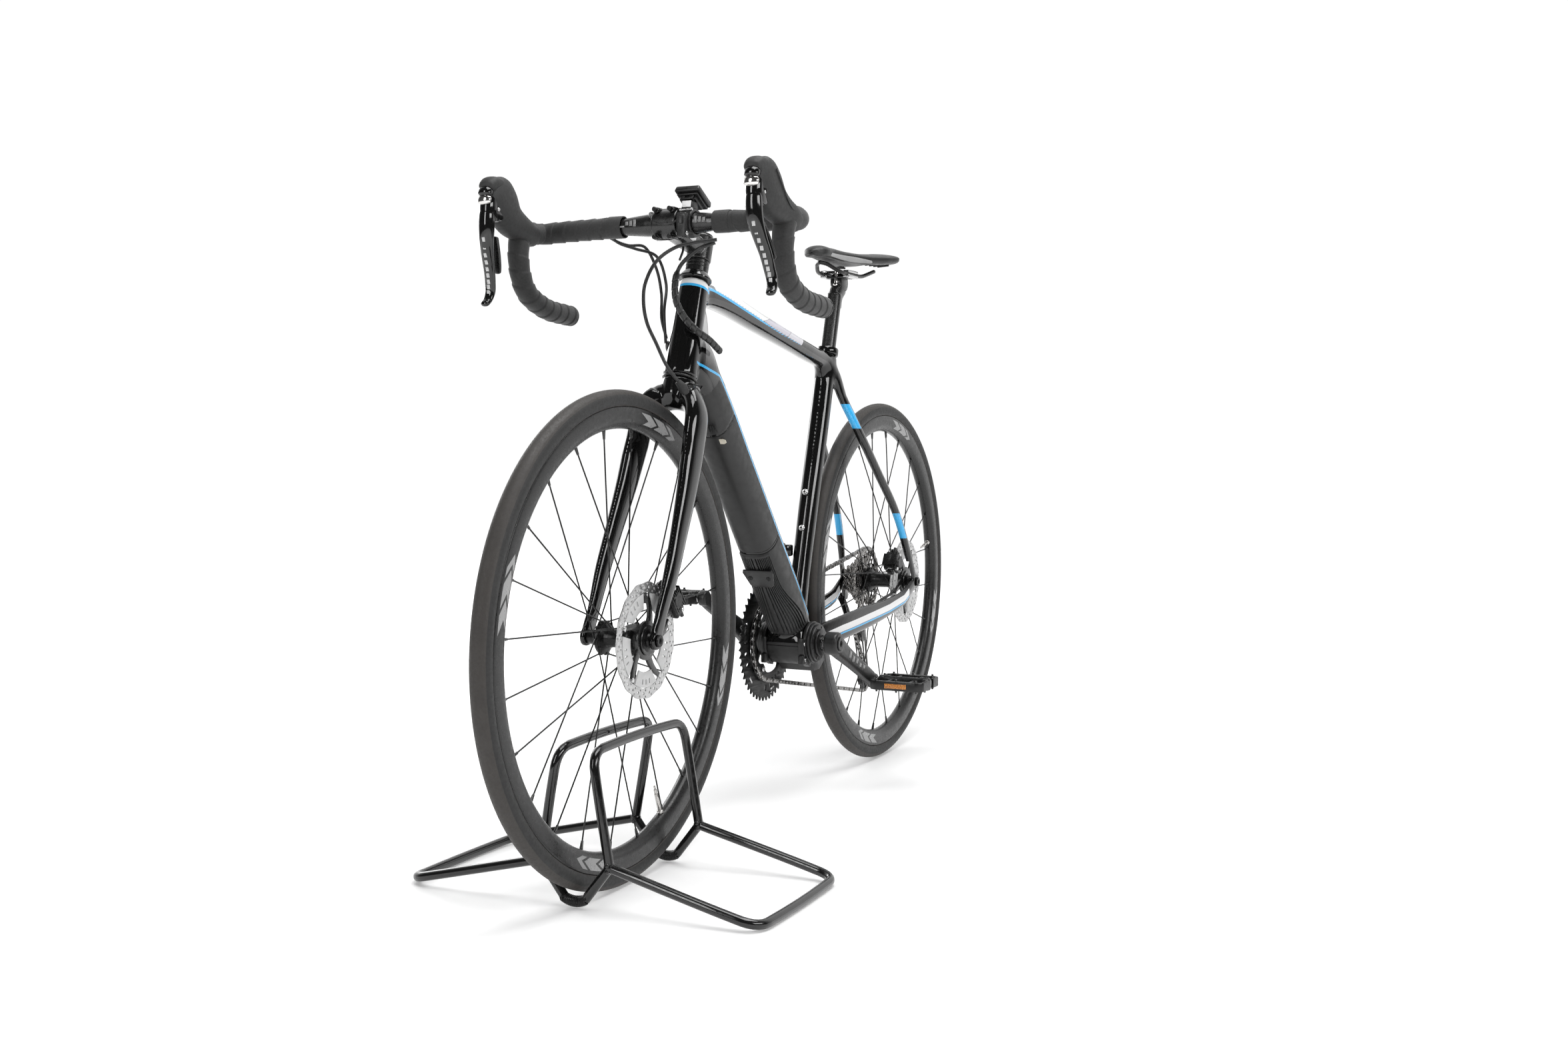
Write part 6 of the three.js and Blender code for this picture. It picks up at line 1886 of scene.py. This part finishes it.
arm_dir = unit(LOW - HIGH)
arm_side = unit(np.cross(arm_dir, LINK_AXIS))
bars = []
for s in (1, -1):
    start = HIGH + LINK_AXIS * s * 5.4 + arm_dir * 5
    end = LOW + LINK_AXIS * s * 5.4 - arm_dir * 8.4
    bars.append(loft([(*(start + arm_side * 1.5), 3.0, 6.4), (*((start + end) / 2 + arm_side * 2.6), 2.8,
                                                              5.4), (*end, 2.8, 5.6)], 24, 3,
                     3, (2, 2), across=tuple(LINK_AXIS)))
spring_cover = loft([(*(HIGH + arm_dir * 8), 4.6, 4.6), (*(LOW - arm_dir * 10), 4.4, 4.4)], 24, 2.4, 3,
                    (3, 3), across=tuple(LINK_AXIS))
piece("rear derailleur links", [(merged(link_end(HIGH, 7, 9), *bars), MAT["gloss"]),
                                (spring_cover, MAT["anodised"]),
                                (link_end(HIGH, 3.2, 10.2), MAT["steel"])], "mech_links",
      "rear_derailleur_links", sharp=32)
knuckle = merged(link_end(LOW, 6.4, 9),
                 spun([(0.02, -55.4), (7.6, -55.4), (9, -54), (9.4, -50), (9.4, -41), (8.6, -38.6),
                       (0.02, -38.6)],
                                             (GUIDE_AT[0], 0, GUIDE_AT[1]), segments=48))
knuckle_bolt = merged(disc(5, -57.4, -55, *GUIDE_AT, 0.8, segments=32), link_end(LOW, 3, 10.2))
piece("rear derailleur knuckle", [(knuckle, MAT["gloss"]), (knuckle_bolt, MAT["anodised"])], "mech_knuckle",
      "rear_derailleur_knuckle", sharp=32)
heading = math.atan2(TENSION_AT[1] - GUIDE_AT[1], TENSION_AT[0] - GUIDE_AT[0])
toward = (math.cos(heading), math.sin(heading))
across_cage = (-toward[1], toward[0])


def along_cage(distance, sideways=0.0):
    """A point from the guide wheel towards the tension wheel, and to the side of that line."""
    return (GUIDE_AT[0] + toward[0] * distance + across_cage[0] * sideways,
            GUIDE_AT[1] + toward[1] * distance + across_cage[1] * sideways)


def cage_plate(y0, y1):
    """A tapered plate from the guide wheel to the tension wheel, with a window."""
    outline = arc(11, heading - math.pi / 2, heading + math.pi / 2, 16, *TENSION_AT)
    outline += [along_cage(48, 6.5)]
    outline += arc(12, heading + math.pi / 2, heading + 3 * math.pi / 2, 16, *GUIDE_AT)
    outline += [along_cage(48, -9.5)]
    window = capsule(along_cage(24), along_cage(74), 3.6, 8)
    return plate([outline, window], y0, y1, 0.4)


wheel_pins = [disc(3, -38.8, -22, *at, 0.5, segments=24) for at in (GUIDE_AT, TENSION_AT)]
pin_heads = [disc(4.2, y0, y1, *TENSION_AT, 0.5, segments=24) for y0, y1 in ((-39.6, -38), (-22, -20.8))]
piece("rear derailleur cage", [(merged(cage_plate(-38, -36.4), cage_plate(-23.6, -22)), MAT["black"]),
                               (merged(*wheel_pins, *pin_heads), MAT["steel"])], "mech_cage",
      "rear_derailleur_cage",
      sharp=30)
for name, (x, z) in (("guide", GUIDE_AT), ("tension", TENSION_AT)):
    spokes_out = [capsule(polar(9.6, a), polar(12.4, a), 1.7, 5) for a in np.arange(7) * TAU / 7]
    wheel = plate([sprocket_outline(JOCKEY_TEETH, 0, 0, tip=2.8, root=3.4), circle(5.4, steps=24)]
                  + spokes_out, -31.2, -28.8, 0.4)
    core = disc(5.9, -33.4, -26.6, 0, 0, 0.6, 3.3, 32)
    piece(f"{name} wheel", [(moved(wheel, (x, 0, z)), MAT["cover_dark"]),
                            (moved(core, (x, 0, z)), MAT["steel"])],
          f"{name}_wheel", f"jockey_{name}", sharp=30)

# ---------------------------------------------------------------- cables and hoses
HOSE = [(357, 79, 890), (371, 50, 886), (383, 25, 878), (389, 0, 860), (399, -12, 830), (405, -12, 806),
        (413, -2, 773), (409, 10, 745), (402, 24, 712), (386, 36, 688)]
hose_grommet = loft([(389, 33, 692, 4.4, 4.4), (383, 39, 682, 6.6, 6.6), (379, 42, 674, 5.0, 5.0)], 20, 2,
                    2, (1, 1))
piece("front brake hose", [(tube(smooth_path(HOSE, 3), 2.5, 16), MAT["jacket"]),
                           (hose_grommet, MAT["rubber"])], "front_end",
      "front_brake_hose")
WIRE = [(329, 5, 868), (313, 2, 885), (303, -5, 910), (307, -15, 924), (329, -25, 930), (350, -30, 934),
        (362, -25, 928), (372, -8, 916), (372, 12, 914), (368, 25, 920)]
piece("display wire", (tube(smooth_path(WIRE, 3), 1.7, 14), MAT["jacket"]), "front_end", None)
shift_paths = ([(347, -104, 905), (338, -92, 897), (326, -82, 893), (298, -70, 893), (290, -55, 862),
                (293, -45, 826), (312, -34, 786), (316, -24, 757)],
               [(347, -100, 904), (336, -90, 895), (316, -76, 889), (283, -58, 880), (284, -42, 840),
                (310, -31, 795), (318, -24, 750)])
shift_piece = piece("shift cables", (merged(*[tube(smooth_path(p, 2.5), 2.2, 14) for p in shift_paths]),
                                     MAT["jacket"]), None,
                    "shift_cables")
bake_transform(shift_piece)
BUNDLE = [(345, 70, 888), (352, 50, 880), (350, 30, 869), (345, 13, 855), (348, 8, 836), (349, 10, 808),
          (341, 17, 787), (322, 27, 768), (294, 34, 755), (262, 36, 740)]
bundle_path = smooth_path(BUNDLE, 2.0)


def wrap_radius(d, angles):
    """Radius of the bundle: bare hoses first, then a spiral wrap with gaps."""
    wound = min(1.0, max((d - 74) / 6, 0.0))
    turn = (d / 11.5 - angles / TAU) % 1.0
    gap = np.clip((0.09 - np.minimum(turn, 1 - turn)) / 0.04, 0, 1)
    return 2.9 + wound * (2.2 - 1.5 * gap)


bundle_piece = piece("hose bundle",
                     [(tube(resampled(bundle_path, 1.1)[0], wrap_radius, 28), MAT["jacket"])], None,
                     "hose_bundle",
                     sharp=60)
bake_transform(bundle_piece)
port_right = loft([(318, -20, 752, 3.5, 4.5), (313, -22, 744, 4, 6), (309, -22, 736, 3, 4)], 24, 2.3, 3,
                  (2, 2))
piece("cable ports", (port_right, MAT["gloss"]), "main_frame")

# ---------------------------------------------------------------- frame fittings
BOTTLE_BOLTS = ((-150, 515), (-136, 454))
out = np.array((0.956, 0, 0.2916))
bottle_bolts, bottle_washers = [], []
for x, z in BOTTLE_BOLTS:
    start = np.array((x, 0, z)) + out * 13.0
    bottle_bolts.append(pin(start, start + out * 6.8, 3.6, 24, 1.2))
    bottle_washers.append(pin(start, start + out * 4.6, 5.2, 24, 0.8))
# near-black hexagons on the bolt heads, painted shade for their hex sockets
painted_socket_shade = [pin(np.array((x, 0, z)) + out * 17, np.array((x, 0, z)) + out * 20.0, 1.9, 6, 0.1)
           for x, z in BOTTLE_BOLTS]
piece("bottle bolts", [(merged(*bottle_bolts, *bottle_washers), MAT["steel"]),
                       (merged(*painted_socket_shade), MAT["groove"])], "main_frame")
rear_hose = tube(smooth_path([(-420, 58, 330), (-408, 55, 322), (-380, 54, 318), (-350, 52, 312)], 3),
                 2.6, 14)
piece("rear brake hose", (rear_hose, MAT["jacket"]), "main_frame")
mech_cable = tube(smooth_path([(-478, -78, 322), (-500, -84, 330), (-516, -84, 318), (-512, -80, 300),
                               (-500, -78, 292)], 3), 2.2, 14)
piece("rear mech cable", (mech_cable, MAT["jacket"]), "main_frame")


# ---------------------------------------------------------------- camera, light and floor
def aim(obj, forward, roll=0.0):
    """Turns a camera or light to face along a direction."""
    forward = Vector(forward).normalized()
    obj.rotation_mode = "QUATERNION"
    obj.rotation_quaternion = forward.to_track_quat("-Z", "Y") @ Quaternion((0, 0, 1), roll)


scene = bpy.context.scene
camera = bpy.data.objects.new("camera", bpy.data.cameras.new("camera"))
scene.collection.objects.link(camera)
camera.location = (2.3634, 1.0930, 0.6156)
aim(camera, (-0.9094, -0.4124, -0.0544), math.radians(0.118))
camera.data.lens = 36.51
camera.data.sensor_width = 36
scene.camera = camera

floor_shape = spun([(0.02, -12), (6000, -12), (6000, -1.0), (0.02, -1.0)], segments=96, axis=(0, 0, 1))
floor = piece("floor", (floor_shape, MAT["floor"]), None)

world = bpy.data.worlds.new("studio")
scene.world = world
world.use_nodes = True
sky = world.node_tree.nodes
background = sky["Background"]
facing = sky.new("ShaderNodeVectorMath")
facing.operation = "DOT_PRODUCT"
facing.inputs[1].default_value = (-0.911, -0.413, 0.0)
world.node_tree.links.new(sky.new("ShaderNodeTexCoord").outputs["Generated"], facing.inputs[0])
fade = sky.new("ShaderNodeMapRange")
world.node_tree.links.new(facing.outputs["Value"], fade.inputs["Value"])
for key, value in (("From Min", 0.1), ("From Max", 0.5), ("To Min", 0.07), ("To Max", 1.02)):
    fade.inputs[key].default_value = value
world.node_tree.links.new(fade.outputs["Result"], background.inputs["Strength"])
background.inputs["Color"].default_value = (1.0, 1.0, 1.0, 1.0)


def soft_light(name, place, target, size, power):
    """A rectangular light that faces its target."""
    light = bpy.data.lights.new(name, "AREA")
    light.shape = "RECTANGLE"
    light.size, light.size_y = size
    light.energy = power
    obj = bpy.data.objects.new(name, light)
    scene.collection.objects.link(obj)
    obj.location = place
    aim(obj, Vector(target) - Vector(place))


soft_light("overhead", (0.2, 0.6, 3.2), (0, 0, 0.5), (2.6, 1.6), 78)
soft_light("left side", (1.0, 3.2, 1.9), (0, 0, 0.5), (2.6, 0.7), 46)
soft_light("front", (3.4, -0.9, 1.8), (0, 0, 0.6), (0.7, 2.0), 30)
soft_light("rear right", (-1.6, -2.8, 1.6), (0, 0, 0.5), (2.0, 1.0), 30)

scene.view_settings.view_transform = "Standard"
scene.cycles.use_denoising = True
